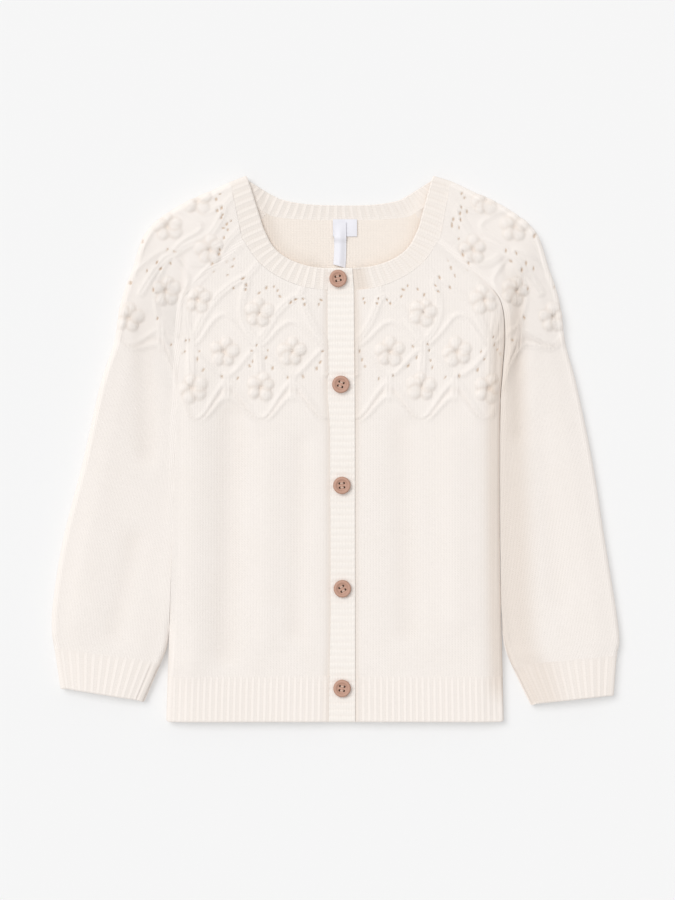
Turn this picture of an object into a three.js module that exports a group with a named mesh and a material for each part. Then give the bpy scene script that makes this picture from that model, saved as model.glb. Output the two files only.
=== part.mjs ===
// Baby cardigan, laid flat and buttoned: a knitted yoke of flowers in a lattice,
// long sleeves beside the body, ribbed neck, hem and cuffs, and five wooden buttons.
// X runs across the body, Y up to the neck, Z up from the surface it lies on.
import * as THREE from 'three';

// Cloth and layers
const WALL = 2.8;
const HALF = WALL / 2;
const SEAM_GAP = 0.3;
const FLOOR_LAYER = HALF;
const FOLD_TOP = 6.4;
const LOFT = 1.0;
const LOFT_SPAN = 14;
const FOLD_RADIUS = (FOLD_TOP - FLOOR_LAYER) / 2;
const SEAM_RADIUS = FOLD_RADIUS - SEAM_GAP / 2;
const BEND_LENGTH = SEAM_RADIUS * Math.PI / 2;

// Front bands, one on the other
const BAND_WALL = 2.5;
const BUTTON_BAND_HEIGHT = 4.35;
const HOLE_BAND_HEIGHT = 7.15;
const BAND_RIB_PITCH = 4.4;
const RIB_DEPTH = 0.6;
const NECK_RIB_PITCH = 5.3;
const HEM_RIB_PITCH = 4.0;

// Buttons
const BUTTON_RADIUS = 5.75;
const BUTTON_THICKNESS = 2.6;
const BUTTON_HEIGHT = 8.8;
const BUTTON_HOLE_RADIUS = 0.75;
const BUTTON_HOLE_SPREAD = 1.4;

// Rows of the garment from the neck's free edge down to the armpit. bandY: height of the
// row at the front band; seam: where front meets sleeve; fold: the sleeve's outer fold;
// under: where back meets sleeve; swing: direction of the row at the seam; sag: dip of
// the row on the back; bend and underBend: how far the cloth turns down or up there.
const YOKE = {
  right: [
    { bandY: 120.1, seamX: 52.8, seamY: 143.2, foldX: 64.0, foldY: 181.5, underX: 46.0, underY: 167.5 },
    { bandY: 105.6, seamX: 66.7, seamY: 136.6, foldX: 76.6, foldY: 177.5, underX: 52.5, underY: 156.5 },
    { bandY: 99.0, seamX: 79.5, seamY: 125.5, foldX: 91.1, foldY: 170.6, underX: 61.4, underY: 143.9 },
    { bandY: 89.8, seamX: 96.0, seamY: 113.0, foldX: 112.2, foldY: 160.2, underX: 74.6, underY: 126.7 },
    { bandY: 76.6, seamX: 108.5, seamY: 98.5, foldX: 132.0, foldY: 144.0, underX: 88.4, underY: 104.3 },
    { bandY: 63.4, seamX: 111.5, seamY: 77.2, foldX: 140.6, foldY: 120.1, underX: 97.7, underY: 81.8 },
    { bandY: 48.8, seamX: 110.2, seamY: 55.4, foldX: 147.5, foldY: 99.0, underX: 104.3, underY: 58.1 },
    { bandY: 31.0, seamX: 108.6, seamY: 33.0, foldX: 151.5, foldY: 71.3, underX: 108.6, underY: 33.0 },
  ],
  left: [
    { bandY: 120.1, seamX: -46.2, seamY: 143.2, foldX: -59.1, foldY: 181.5, underX: -40.7, underY: 168.0 },
    { bandY: 105.6, seamX: -60.1, seamY: 136.6, foldX: -70.6, foldY: 176.9, underX: -46.5, underY: 156.5 },
    { bandY: 99.0, seamX: -72.9, seamY: 125.5, foldX: -85.1, foldY: 170.0, underX: -54.8, underY: 143.9 },
    { bandY: 89.8, seamX: -88.8, seamY: 113.5, foldX: -105.6, foldY: 160.2, underX: -68.0, underY: 126.7 },
    { bandY: 76.6, seamX: -99.8, seamY: 99.0, foldX: -125.6, foldY: 143.8, underX: -81.8, underY: 104.3 },
    { bandY: 63.4, seamX: -102.3, seamY: 77.2, foldX: -134.0, foldY: 120.8, underX: -91.1, underY: 81.8 },
    { bandY: 48.8, seamX: -103.0, seamY: 55.4, foldX: -141.7, foldY: 99.0, underX: -97.7, underY: 58.1 },
    { bandY: 31.0, seamX: -104.3, seamY: 33.0, foldX: -146.5, foldY: 71.9, underX: -104.3, underY: 33.0 },
  ],
};
const SHARED = [
  { swing: 68, bend: 0, underBend: 0, sag: 4.0 },
  { swing: 62, bend: 0, underBend: 0, sag: 2.6 },
  { swing: 45, bend: 0, underBend: 0, sag: 2.4 },
  { swing: 35, bend: 6, underBend: 0, sag: 1.8 },
  { swing: 35, bend: 48, underBend: 0, sag: 0.8 },
  { swing: 22, bend: 70, underBend: 0, sag: 0 },
  { swing: 8, bend: 82, underBend: 28, sag: 0 },
  { swing: 0, bend: 90, underBend: 90, sag: 0 },
];

// Rows below the armpit, down to the hem: the body's side edge
const BODY = {
  right: [
    { edgeX: 108.2, edgeY: 6.6 },
    { edgeX: 108.2, edgeY: -46.2 },
    { edgeX: 108.9, edgeY: -99.0 },
    { edgeX: 110.2, edgeY: -149.2 },
    { edgeX: 110.9, edgeY: -179.5 },
  ],
  left: [
    { edgeX: -105.6, edgeY: 6.6 },
    { edgeX: -107.3, edgeY: -46.2 },
    { edgeX: -108.9, edgeY: -99.0 },
    { edgeX: -111.2, edgeY: -149.2 },
    { edgeX: -112.2, edgeY: -179.5 },
  ],
};

// Rows below the armpit, down to the cuff: the sleeve's seam beside the body and its fold
const ARM = {
  right: [
    { seamX: 108.2, seamY: 6.6, foldX: 159.1, foldY: 42.9 },
    { seamX: 108.2, seamY: -33.0, foldX: 169.6, foldY: -7.9 },
    { seamX: 108.5, seamY: -72.6, foldX: 177.5, foldY: -58.1 },
    { seamX: 109.2, seamY: -105.6, foldX: 184.8, foldY: -103.0 },
    { seamX: 110.4, seamY: -126.7, foldX: 187.4, foldY: -125.4 },
    { seamX: 116.2, seamY: -143.2, foldX: 185.8, foldY: -136.0 },
    { seamX: 128.7, seamY: -169.3, foldX: 183.7, foldY: -162.7 },
  ],
  left: [
    { seamX: -105.7, seamY: 6.6, foldX: -155.8, foldY: 42.9 },
    { seamX: -107.2, seamY: -33.0, foldX: -167.0, foldY: -6.6 },
    { seamX: -108.4, seamY: -72.6, foldX: -180.4, foldY: -59.4 },
    { seamX: -109.6, seamY: -105.6, foldX: -187.0, foldY: -100.5 },
    { seamX: -110.8, seamY: -126.7, foldX: -187.8, foldY: -120.0 },
    { seamX: -115.5, seamY: -141.2, foldX: -186.2, foldY: -131.2 },
    { seamX: -126.7, seamY: -167.0, foldX: -182.2, foldY: -158.2 },
  ],
};

// Row numbers where one piece ends and the next begins
const NECK_JOIN = 1;
const ARMPIT = 7;
const YOKE_END = 7.4;
const HEM_JOIN = 11;
const HEM_END = 12;
const CUFF_JOIN = 13;
const CUFF_END = 14;

// Front edges beside the bands, at the neck and at the hem
const FRONT_EDGE = {
  right: { topX: 13.6, bottomX: 13.6, height: 4.5 },
  left: { topX: -5.8, bottomX: -7.1, height: HOLE_BAND_HEIGHT },
};
const HOLE_BAND = [
  { y: 120.1, left: -5.5, right: 10.9 },
  { y: 105.6, left: -5.6, right: 12.0 },
  { y: 33.0, left: -6.1, right: 12.6 },
  { y: -179.5, left: -6.8, right: 12.9 },
];
const BUTTON_BAND = [
  { y: 119.6, left: -4.6, right: 13.3 },
  { y: -179.0, left: -5.4, right: 13.3 },
];
const BUTTONS = [
  { x: 1.4, y: 112.9, turn: 12 },
  { x: 3.2, y: 43.2, turn: -20 },
  { x: 3.9, y: -23.3, turn: 5 },
  { x: 4.2, y: -91.3, turn: 30 },
  { x: 4.0, y: -156.9, turn: -8 },
];

// Lattice of the yoke: where each ring of the pattern crosses each half column, counted
// from the front band (0) over the seam (between 4 and 5) to the sleeve's fold (8)
const RINGS = [
  { ring: 'neck', x: [13, 28, 44, 57, 66, 69, 72, 74.5, 76.6], y: [104, 108, 114, 124, 135, 147, 157, 167, 177] },
  { ring: 'first', x: [13, 35.5, 57.4, 79, 97.5, 100, 90, 92, 98], y: [88, 88, 90.4, 94, 99, 114, 132, 149, 164] },
  { ring: 'second', x: [13, 35.6, 57.5, 80, 102, 118.5, 118, 117.5, 122], y: [64.7, 64.7, 64.7, 64.7, 66, 105, 127, 147, 156] },
  { ring: 'third', x: [13, 35, 56.1, 78.5, 101, 121.5, 143, 148, 149], y: [41, 41, 41.6, 41, 40.3, 73, 87.5, 105, 118] },
  { ring: 'edge', x: [13, 35, 56.1, 78.5, 100.5, 118, 146.5, 152, 154], y: [17.5, 17.5, 17.5, 17.5, 18, 51, 68.5, 84, 95] },
];
const MIDDLE_X = 3.3;

// Raised lines of the lattice between neighbouring half columns: ring height at the even
// column and at the odd one
const LINES = [
  { even: 1.69, odd: 0.35 },
  { even: 1.85, odd: 1.16 },
  { even: 1.92, odd: 2.66 },
  { even: 3.86, odd: 2.85 },
  { even: 4.0, odd: 3.25 },
];
const LINE_HEIGHT = 1.1;
const LINE_WIDTH = 1.7;
const LINE_STEPS = 5;
const FLOWERS = [
  { ring: 1, columns: [2, 4, 6, 8] },
  { ring: 2, columns: [1, 3, 5, 7] },
  { ring: 3, columns: [2, 4, 6] },
];
const PETALS = 5;
const PETAL_RADIUS = 3.3;
const PETAL_SPREAD = 5.4;
const PETAL_HEIGHT = 2.6;

// Soft folds: troughs in the upper layer, from one end to the other
const FOLDS = [
  { x1: -66, y1: 8, x2: -68, y2: -128, width: 8, depth: 0.7 },
  { x1: -32, y1: 0, x2: -30, y2: -120, width: 7, depth: 0.5 },
  { x1: 47, y1: 14, x2: 50, y2: -105, width: 8, depth: 0.6 },
  { x1: 84, y1: 0, x2: 82, y2: -90, width: 7, depth: 0.4 },
  { x1: -125, y1: 92, x2: -128, y2: -36, width: 7, depth: 0.8 },
  { x1: -146, y1: -10, x2: -150, y2: -112, width: 7, depth: 0.5 },
  { x1: 126, y1: 70, x2: 113, y2: 42, width: 4, depth: 0.9 },
  { x1: 132, y1: 20, x2: 146, y2: -100, width: 8, depth: 0.6 },
  { x1: 111, y1: 124, x2: 111, y2: 104, width: 3.5, depth: 1.2 },
  { x1: -101, y1: 128, x2: -101, y2: 106, width: 3.5, depth: 1.0 },
];

// Finishes
function finish(color, roughness) {
  return new THREE.MeshStandardMaterial({ color, roughness, metalness: 0 });
}
const creamKnit = finish(0xf5efe7, 0.95);
const wood = finish(0xbc9280, 0.55);
const satin = finish(0xf6f4f8, 0.4);

// Small sums
const { lerp, smoothstep, clamp, degToRad } = THREE.MathUtils;

function smooth(distance, span) {
  return smoothstep(distance, 0, span);
}

// Smooth value of one column of a table at a row number between its rows
function between(count, valueOf, at) {
  const first = clamp(Math.floor(at), 0, count - 2);
  const t = at - first;
  const value = (k) => {
    if (k < 0) return 2 * valueOf(0) - valueOf(1);
    if (k >= count) return 2 * valueOf(count - 1) - valueOf(count - 2);
    return valueOf(k);
  };
  const [a, b, c, d] = [value(first - 1), value(first), value(first + 1), value(first + 2)];
  const bend = 2 * a - 5 * b + 4 * c - d;
  const twist = 3 * b - a - 3 * c + d;
  return 0.5 * (2 * b + (c - a) * t + bend * t * t + twist * t * t * t);
}

function column(rows, name, at) {
  return between(rows.length, (k) => rows[k][name], at);
}

// A side's two edge paths: the body's, down to the hem, and the sleeve's, to the cuff
const LANES = {};
for (const side of ['left', 'right']) {
  const yoke = YOKE[side].map((row, k) => ({ ...row, ...SHARED[k] }));
  const straight = { swing: 0, bend: 90, underBend: 90, sag: 0 };
  const body = BODY[side].map(({ edgeX, edgeY }) => (
    { ...straight, bandY: edgeY, seamX: edgeX, seamY: edgeY, underX: edgeX, underY: edgeY }
  ));
  const arm = ARM[side].map((row) => (
    { ...straight, ...row, underX: row.seamX, underY: row.seamY }
  ));
  LANES[side] = { body: [...yoke, ...body], arm: [...yoke, ...arm] };
}

// Point of an edge path and the direction in the plane that leads out over it
function edgeAt(rows, name, side, level) {
  const step = 0.02;
  const here = new THREE.Vector2(column(rows, `${name}X`, level), column(rows, `${name}Y`, level));
  const next = new THREE.Vector2(
    column(rows, `${name}X`, level + step),
    column(rows, `${name}Y`, level + step),
  );
  const run = next.sub(here).normalize();
  const out = new THREE.Vector2(-run.y, run.x);
  if (side === 'left') out.negate();
  return { here, out };
}

// A turn of the cloth at an edge: how far it reaches and how far it drops after a part
function turn(angle, part) {
  if (angle < 0.01) return { reach: BEND_LENGTH * part, drop: 0 };
  const radius = BEND_LENGTH / angle;
  return { reach: radius * Math.sin(angle * part), drop: radius * (1 - Math.cos(angle * part)) };
}

// Height that the soft folds take from the upper layer
function foldDepth(x, y) {
  let depth = 0;
  for (const fold of FOLDS) {
    const runX = fold.x2 - fold.x1;
    const runY = fold.y2 - fold.y1;
    const along = ((x - fold.x1) * runX + (y - fold.y1) * runY) / (runX * runX + runY * runY);
    const part = clamp(along, 0, 1);
    const away = Math.hypot(x - fold.x1 - part * runX, y - fold.y1 - part * runY);
    depth += fold.depth * Math.exp(-((away / fold.width) ** 2));
  }
  return depth;
}

// Middle height of the upper layer where it starts to turn down at a seam
function seamTop(level, bend) {
  const lift = LOFT * lerp(0.3, 1, clamp(level, 0, 1));
  return FOLD_TOP + lift * (1 - Math.sin(bend));
}

function upperHeight(x, y, level, seamDistance, seamHeight, farDistance, farHeight) {
  const top = FOLD_TOP + LOFT * lerp(0.3, 1, clamp(level, 0, 1));
  const nearSeam = (top - seamHeight) * (1 - smooth(seamDistance, LOFT_SPAN));
  const nearFar = (top - farHeight) * (1 - smooth(farDistance, LOFT_SPAN));
  const inside = smooth(Math.min(seamDistance, farDistance), LOFT_SPAN);
  return top - nearSeam - nearFar - foldDepth(x, y) * inside;
}

// Front panel: across runs 0 to 1 from the front band to the side, then 1 to 2 over the turn
function frontPoint(side, across, level) {
  const rows = LANES[side].body;
  const { here, out } = edgeAt(rows, 'seam', side, level);
  const bend = degToRad(clamp(column(rows, 'bend', level), 0, 90));
  const whole = turn(bend, 1);
  const start = here.clone().addScaledVector(out, -HALF * Math.sin(bend) - whole.reach);
  const seamHeight = seamTop(level, bend);
  if (across > 1) {
    const { reach, drop } = turn(bend, across - 1);
    const spot = start.addScaledVector(out, reach);
    return new THREE.Vector3(spot.x, spot.y, seamHeight - drop);
  }
  const edge = FRONT_EDGE[side];
  const bandY = column(rows, 'bandY', level);
  const down = (FRONT_TOP_Y - bandY) / (FRONT_TOP_Y - FRONT_BOTTOM_Y);
  const band = new THREE.Vector2(lerp(edge.topX, edge.bottomX, down), bandY);
  const chord = band.distanceTo(start);
  const sign = side === 'left' ? -1 : 1;
  const swing = degToRad(column(rows, 'swing', level));
  const t = across;
  const leave = t * (1 - t) * (1 - t) * chord;
  const arrive = t * t * (t - 1) * chord;
  const ease = t * t * (3 - 2 * t);
  const x = lerp(band.x, start.x, ease) + sign * (leave + arrive * Math.cos(swing));
  const y = lerp(band.y, start.y, ease) + arrive * Math.sin(swing);
  const z = upperHeight(x, y, level, (1 - t) * chord, seamHeight, t * chord, edge.height);
  return new THREE.Vector3(x, y, z);
}
const FRONT_TOP_Y = YOKE.right[0].bandY;
const FRONT_BOTTOM_Y = BODY.right[BODY.right.length - 1].edgeY;

// Sleeve: across runs 0 to 1 over the turn at the front seam, to 2 over the upper layer,
// to 3 round the outer fold, to 4 back under, and to 5 over the turn at the under seam
function sleevePoint(side, across, level) {
  const rows = LANES[side].arm;
  const bend = degToRad(clamp(column(rows, 'bend', level), 0, 90));
  const seam = edgeAt(rows, 'seam', side, level);
  const clear = SEAM_GAP + HALF * Math.sin(bend);
  const seamHeight = seamTop(level, bend);
  if (across < 1) {
    const whole = turn(bend, 1);
    const { reach, drop } = turn(bend, 1 - across);
    const spot = seam.here.addScaledVector(seam.out, clear + whole.reach - reach);
    return new THREE.Vector3(spot.x, spot.y, seamHeight - drop);
  }
  const fold = edgeAt(rows, 'fold', side, level);
  const foldStart = fold.here.clone().addScaledVector(fold.out, -FOLD_RADIUS - HALF);
  if (across <= 2) {
    const start = seam.here.addScaledVector(seam.out, clear + turn(bend, 1).reach);
    const t = across - 1;
    const width = start.distanceTo(foldStart);
    const spot = start.lerp(foldStart, t);
    const z = upperHeight(spot.x, spot.y, level, t * width, seamHeight, (1 - t) * width, FOLD_TOP);
    return new THREE.Vector3(spot.x, spot.y, z);
  }
  if (across <= 3) {
    const angle = Math.PI * (across - 2);
    const spot = foldStart.addScaledVector(fold.out, FOLD_RADIUS * Math.sin(angle));
    return new THREE.Vector3(spot.x, spot.y, FLOOR_LAYER + FOLD_RADIUS * (1 + Math.cos(angle)));
  }
  const underBend = degToRad(clamp(column(rows, 'underBend', level), 0, 90));
  const under = edgeAt(rows, 'under', side, level);
  const underClear = SEAM_GAP + HALF * Math.sin(underBend);
  const whole = turn(underBend, 1);
  const part = turn(underBend, Math.max(across - 4, 0));
  const start = under.here.addScaledVector(under.out, underClear + whole.reach);
  if (across <= 4) {
    const spot = foldStart.lerp(start, across - 3);
    return new THREE.Vector3(spot.x, spot.y, FLOOR_LAYER);
  }
  const spot = start.addScaledVector(under.out, -part.reach);
  return new THREE.Vector3(spot.x, spot.y, FLOOR_LAYER + part.drop);
}

// Back panel: across runs 0 to 1 over the turn at the left, to 2 to the right, to 3 over
// the turn there
function backPoint(across, level) {
  const edges = ['left', 'right'].map((side) => {
    const rows = LANES[side].body;
    const bend = degToRad(clamp(column(rows, 'underBend', level), 0, 90));
    const { here, out } = edgeAt(rows, 'under', side, level);
    const start = here.addScaledVector(out, -HALF * Math.sin(bend) - turn(bend, 1).reach);
    return { start, out, bend };
  });
  const [left, right] = edges;
  if (across >= 1 && across <= 2) {
    const t = across - 1;
    const sag = column(LANES.right.body, 'sag', level) * (1 - Math.abs(2 * t - 1) ** 3);
    const spot = left.start.lerp(right.start, t);
    return new THREE.Vector3(spot.x, spot.y - sag, FLOOR_LAYER);
  }
  const edge = across < 1 ? left : right;
  const { reach, drop } = turn(edge.bend, across < 1 ? 1 - across : across - 2);
  const spot = edge.start.addScaledVector(edge.out, reach);
  return new THREE.Vector3(spot.x, spot.y, FLOOR_LAYER + drop);
}

// Yoke pattern in the plane
function latticePoint(side, half, ring) {
  const at = (name) => between(
    RINGS.length,
    (k) => between(RINGS[k][name].length, (j) => RINGS[k][name][j], half),
    ring,
  );
  const x = at('x');
  return new THREE.Vector2(side === 'left' ? 2 * MIDDLE_X - x : x, at('y'));
}

function yokePattern(side) {
  const lines = [];
  const last = RINGS[0].x.length - 1;
  for (let odd = 1; odd <= last; odd += 2) {
    for (const even of [odd - 1, odd + 1]) {
      if (even > last) continue;
      for (const line of LINES) {
        const points = [];
        for (let k = 0; k <= LINE_STEPS; k++) {
          const t = k / LINE_STEPS;
          const ring = lerp(line.even, line.odd, t * t * (3 - 2 * t));
          points.push(latticePoint(side, lerp(even, odd, t), ring));
        }
        lines.push(points);
      }
    }
  }
  const petals = [];
  for (const { ring, columns } of FLOWERS) {
    for (const half of columns) {
      const centre = latticePoint(side, half, ring);
      for (let k = 0; k < PETALS; k++) {
        const angle = Math.PI / 2 + k * 2 * Math.PI / PETALS;
        petals.push(new THREE.Vector2(
          centre.x + PETAL_SPREAD * Math.cos(angle),
          centre.y + PETAL_SPREAD * Math.sin(angle),
        ));
      }
    }
  }
  return { lines, petals };
}
const PATTERN = { left: yokePattern('left'), right: yokePattern('right') };

function distanceToLine(x, y, points) {
  let nearest = Infinity;
  for (let k = 1; k < points.length; k++) {
    const from = points[k - 1];
    const runX = points[k].x - from.x;
    const runY = points[k].y - from.y;
    const along = ((x - from.x) * runX + (y - from.y) * runY) / (runX * runX + runY * runY);
    const part = clamp(along, 0, 1);
    nearest = Math.min(nearest, Math.hypot(x - from.x - part * runX, y - from.y - part * runY));
  }
  return nearest;
}

function yokeRelief(side, x, y) {
  let height = 0;
  for (const points of PATTERN[side].lines) {
    const away = distanceToLine(x, y, points) / LINE_WIDTH;
    if (away < 2) height = Math.max(height, LINE_HEIGHT * Math.exp(-away * away));
  }
  for (const petal of PATTERN[side].petals) {
    const away = Math.hypot(x - petal.x, y - petal.y) / PETAL_RADIUS;
    if (away < 1) height = Math.max(height, PETAL_HEIGHT * Math.sqrt(1 - away * away));
  }
  return height;
}

// A closed skin of triangles
class Skin {
  constructor() {
    this.points = [];
    this.faces = [];
  }

  grid(acrossList, levelList, pointAt) {
    return levelList.map((level) => acrossList.map((across) => {
      this.points.push(pointAt(across, level));
      return this.points.length - 1;
    }));
  }

  fill(rows, flipped) {
    for (let j = 1; j < rows.length; j++) {
      for (let i = 1; i < rows[j].length; i++) {
        const [a, b, c, d] = [rows[j - 1][i - 1], rows[j - 1][i], rows[j][i], rows[j][i - 1]];
        this.face(a, b, c, flipped);
        this.face(a, c, d, flipped);
      }
    }
  }

  face(a, b, c, flipped) {
    this.faces.push(flipped ? [a, c, b] : [a, b, c]);
  }

  // Joins two rows of points that run the same way: at says where each point lies on them
  zip(near, far, nearAt, farAt, flipped) {
    let i = 0;
    let j = 0;
    while (i < near.length - 1 || j < far.length - 1) {
      const nearFirst = nearAt[i + 1] <= farAt[j + 1];
      const stepNear = j === far.length - 1 || (i < near.length - 1 && nearFirst);
      if (stepNear) {
        this.face(near[i], near[i + 1], far[j], flipped);
        i += 1;
      } else {
        this.face(near[i], far[j + 1], far[j], flipped);
        j += 1;
      }
    }
  }

  geometry() {
    let volume = 0;
    for (const [a, b, c] of this.faces) {
      const cross = new THREE.Vector3().crossVectors(this.points[b], this.points[c]);
      volume += this.points[a].dot(cross);
    }
    const index = this.faces.flatMap(([a, b, c]) => (volume < 0 ? [a, c, b] : [a, b, c]));
    const geometry = new THREE.BufferGeometry();
    geometry.setAttribute('position', new THREE.Float32BufferAttribute(
      this.points.flatMap((point) => [point.x, point.y, point.z]),
      3,
    ));
    geometry.setIndex(index);
    geometry.computeVertexNormals();
    return geometry;
  }
}

// Evenly spaced values, both ends included
function spaced(from, to, steps) {
  return Array.from({ length: steps + 1 }, (_, k) => lerp(from, to, k / steps));
}

function joined(...lists) {
  return lists.reduce((all, list) => [...all, ...list.slice(all.length ? 1 : 0)], []);
}

// A wall of cloth about a middle surface. patches: grids of the outer face from one end to
// the other, each with its own columns; plain: the coarser grid of the inner face.
function clothWall({ middle, facing, patches, plain, relief = () => 0, wall = WALL, step = 0.004 }) {
  const skin = new Skin();
  const acrossEnds = [plain.across[0], plain.across[plain.across.length - 1]];
  const levelEnds = [plain.level[0], plain.level[plain.level.length - 1]];
  const offset = (across, level, distance) => {
    const across1 = Math.min(across + step, acrossEnds[1]);
    const across0 = Math.max(across - step, acrossEnds[0]);
    const level1 = Math.min(level + step, levelEnds[1]);
    const level0 = Math.max(level - step, levelEnds[0]);
    const alongAcross = middle(across1, level).sub(middle(across0, level));
    const alongLevel = middle(across, level1).sub(middle(across, level0));
    const normal = alongAcross.cross(alongLevel).normalize().multiplyScalar(facing);
    return middle(across, level).addScaledVector(normal, distance);
  };
  const outer = (across, level) => offset(across, level, wall / 2 + relief(across, level));
  const inner = (across, level) => offset(across, level, -wall / 2);

  const grids = patches.map(({ across, level }) => skin.grid(across, level, outer));
  grids.forEach((rows) => skin.fill(rows, false));
  for (let k = 1; k < grids.length; k++) {
    const above = grids[k - 1];
    skin.zip(above[above.length - 1], grids[k][0], patches[k - 1].across, patches[k].across, false);
  }
  const lining = skin.grid(plain.across, plain.level, inner);
  skin.fill(lining, true);

  const lastPatch = patches[patches.length - 1];
  const lastRow = grids[grids.length - 1][lastPatch.level.length - 1];
  skin.zip(grids[0][0], lining[0], patches[0].across, plain.across, true);
  skin.zip(lastRow, lining[lining.length - 1], lastPatch.across, plain.across, false);
  const levels = patches.flatMap(({ level }) => level);
  for (const last of [false, true]) {
    const side = (rows) => rows.map((row) => row[last ? row.length - 1 : 0]);
    skin.zip(grids.flatMap(side), side(lining), levels, plain.level, last);
  }
  return skin.geometry();
}

// Ribs: full on every other column or row of a grid
function ribAt(position, pitch) {
  const phase = position / pitch;
  return -RIB_DEPTH * Math.abs(2 * (phase - Math.floor(phase)) - 1);
}

// The rows are measured from the middle of the picture; the part stands on its own middle
const MIDDLE_Y = 0.9;
const garment = new THREE.Group();
garment.position.y = -MIDDLE_Y;

function add(name, geometry, material) {
  const mesh = new THREE.Mesh(geometry, material);
  mesh.name = name;
  garment.add(mesh);
  return mesh;
}

const FACING = { right: -1, left: 1 };

// Fronts, with the flowers and the lattice raised on the yoke
for (const side of ['left', 'right']) {
  const turnColumns = spaced(1, 2, 3);
  const fine = joined(spaced(0, 1, 30), turnColumns);
  const coarse = joined(spaced(0, 1, 12), turnColumns);
  add(`front_${side}`, clothWall({
    middle: (across, level) => frontPoint(side, across, level),
    facing: FACING[side],
    patches: [
      { across: fine, level: spaced(NECK_JOIN, YOKE_END, 30) },
      { across: coarse, level: spaced(YOKE_END + 0.15, HEM_JOIN, 8) },
    ],
    plain: {
      across: joined(spaced(0, 1, 10), spaced(1, 2, 2)),
      level: joined(spaced(NECK_JOIN, ARMPIT, 15), spaced(ARMPIT, HEM_JOIN, 4)),
    },
    relief: (across, level) => {
      if (level > YOKE_END) return 0;
      const spot = frontPoint(side, across, level);
      return yokeRelief(side, spot.x, spot.y) * (1 - smooth(across - 1, 0.8));
    },
  }), creamKnit);
}

// Back, flat on the surface
const backColumns = joined(spaced(0, 1, 2), spaced(1, 2, 10), spaced(2, 3, 2));
const backLevels = joined(spaced(NECK_JOIN, ARMPIT, 12), spaced(ARMPIT, HEM_JOIN, 4));
add('back', clothWall({
  middle: backPoint,
  facing: 1,
  patches: [{ across: backColumns, level: backLevels }],
  plain: { across: backColumns, level: backLevels },
}), creamKnit);

// Sleeves, each one wall from the front seam round the outer fold to the under seam
for (const side of ['left', 'right']) {
  const foldColumns = spaced(2, 3, 5);
  const underColumns = joined(spaced(3, 4, 2), spaced(4, 5, 2));
  const fine = joined(spaced(0, 1, 2), spaced(1, 2, 16), foldColumns, underColumns);
  const coarse = joined(spaced(0, 1, 2), spaced(1, 2, 8), foldColumns, underColumns);
  add(`sleeve_${side}`, clothWall({
    middle: (across, level) => sleevePoint(side, across, level),
    facing: FACING[side],
    patches: [
      { across: fine, level: spaced(NECK_JOIN, YOKE_END, 32) },
      { across: coarse, level: spaced(YOKE_END + 0.15, CUFF_JOIN, 11) },
    ],
    plain: {
      across: joined(spaced(0, 1, 2), spaced(1, 2, 4), spaced(2, 3, 4), underColumns),
      level: joined(spaced(NECK_JOIN, ARMPIT, 15), spaced(ARMPIT, CUFF_JOIN, 8)),
    },
    relief: (across, level) => {
      if (level > YOKE_END || across > 2.6) return 0;
      const spot = sleevePoint(side, Math.min(across, 2.5), level);
      const kept = smooth(across, 0.8) * (1 - smooth(across - 2, 0.6));
      return yokeRelief(side, spot.x, spot.y) * kept;
    },
  }), creamKnit);
}

// Hem ribs: two on the fronts, one under the back
const HEM_START = HEM_JOIN + 0.012;
for (const side of ['left', 'right']) {
  const edge = BODY[side][BODY[side].length - 1].edgeX;
  const width = Math.abs(edge - FRONT_EDGE[side].bottomX) - FOLD_RADIUS - HALF;
  const ribs = Math.round(width / HEM_RIB_PITCH);
  const columns = joined(spaced(0, 1, ribs * 2), spaced(1, 2, 3));
  add(`hem_rib_front_${side}`, clothWall({
    middle: (across, level) => frontPoint(side, across, level),
    facing: FACING[side],
    patches: [{ across: columns, level: [HEM_START, HEM_END] }],
    plain: { across: joined(spaced(0, 1, 8), spaced(1, 2, 3)), level: [HEM_START, HEM_END] },
    relief: (across) => (across > 1 ? -RIB_DEPTH : ribAt(across * ribs, 1)),
  }), creamKnit);
}
add('hem_rib_back', clothWall({
  middle: backPoint,
  facing: 1,
  patches: [{ across: backColumns, level: [HEM_START, HEM_END] }],
  plain: { across: backColumns, level: [HEM_START, HEM_END] },
}), creamKnit);

// Cuffs, ribbed above and plain where they lie on the surface
for (const side of ['left', 'right']) {
  const cuffStart = CUFF_JOIN + 0.015;
  const width = sleevePoint(side, 1, CUFF_END).distanceTo(sleevePoint(side, 2, CUFF_END));
  const ribs = Math.round(width / HEM_RIB_PITCH);
  const around = joined(spaced(2, 3, 5), spaced(3, 4, 4), spaced(4, 5, 2));
  add(`cuff_${side}`, clothWall({
    middle: (across, level) => sleevePoint(side, across, level),
    facing: FACING[side],
    patches: [{
      across: joined(spaced(0, 1, 2), spaced(1, 2, ribs * 2), around),
      level: spaced(cuffStart, CUFF_END, 2),
    }],
    plain: {
      across: joined(spaced(0, 1, 2), spaced(1, 2, 5), around),
      level: [cuffStart, CUFF_END],
    },
    relief: (across) => {
      if (across < 1 || across > 2) return across > 2.5 ? 0 : -RIB_DEPTH;
      return ribAt((across - 1) * ribs, 1);
    },
  }), creamKnit);
}

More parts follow.
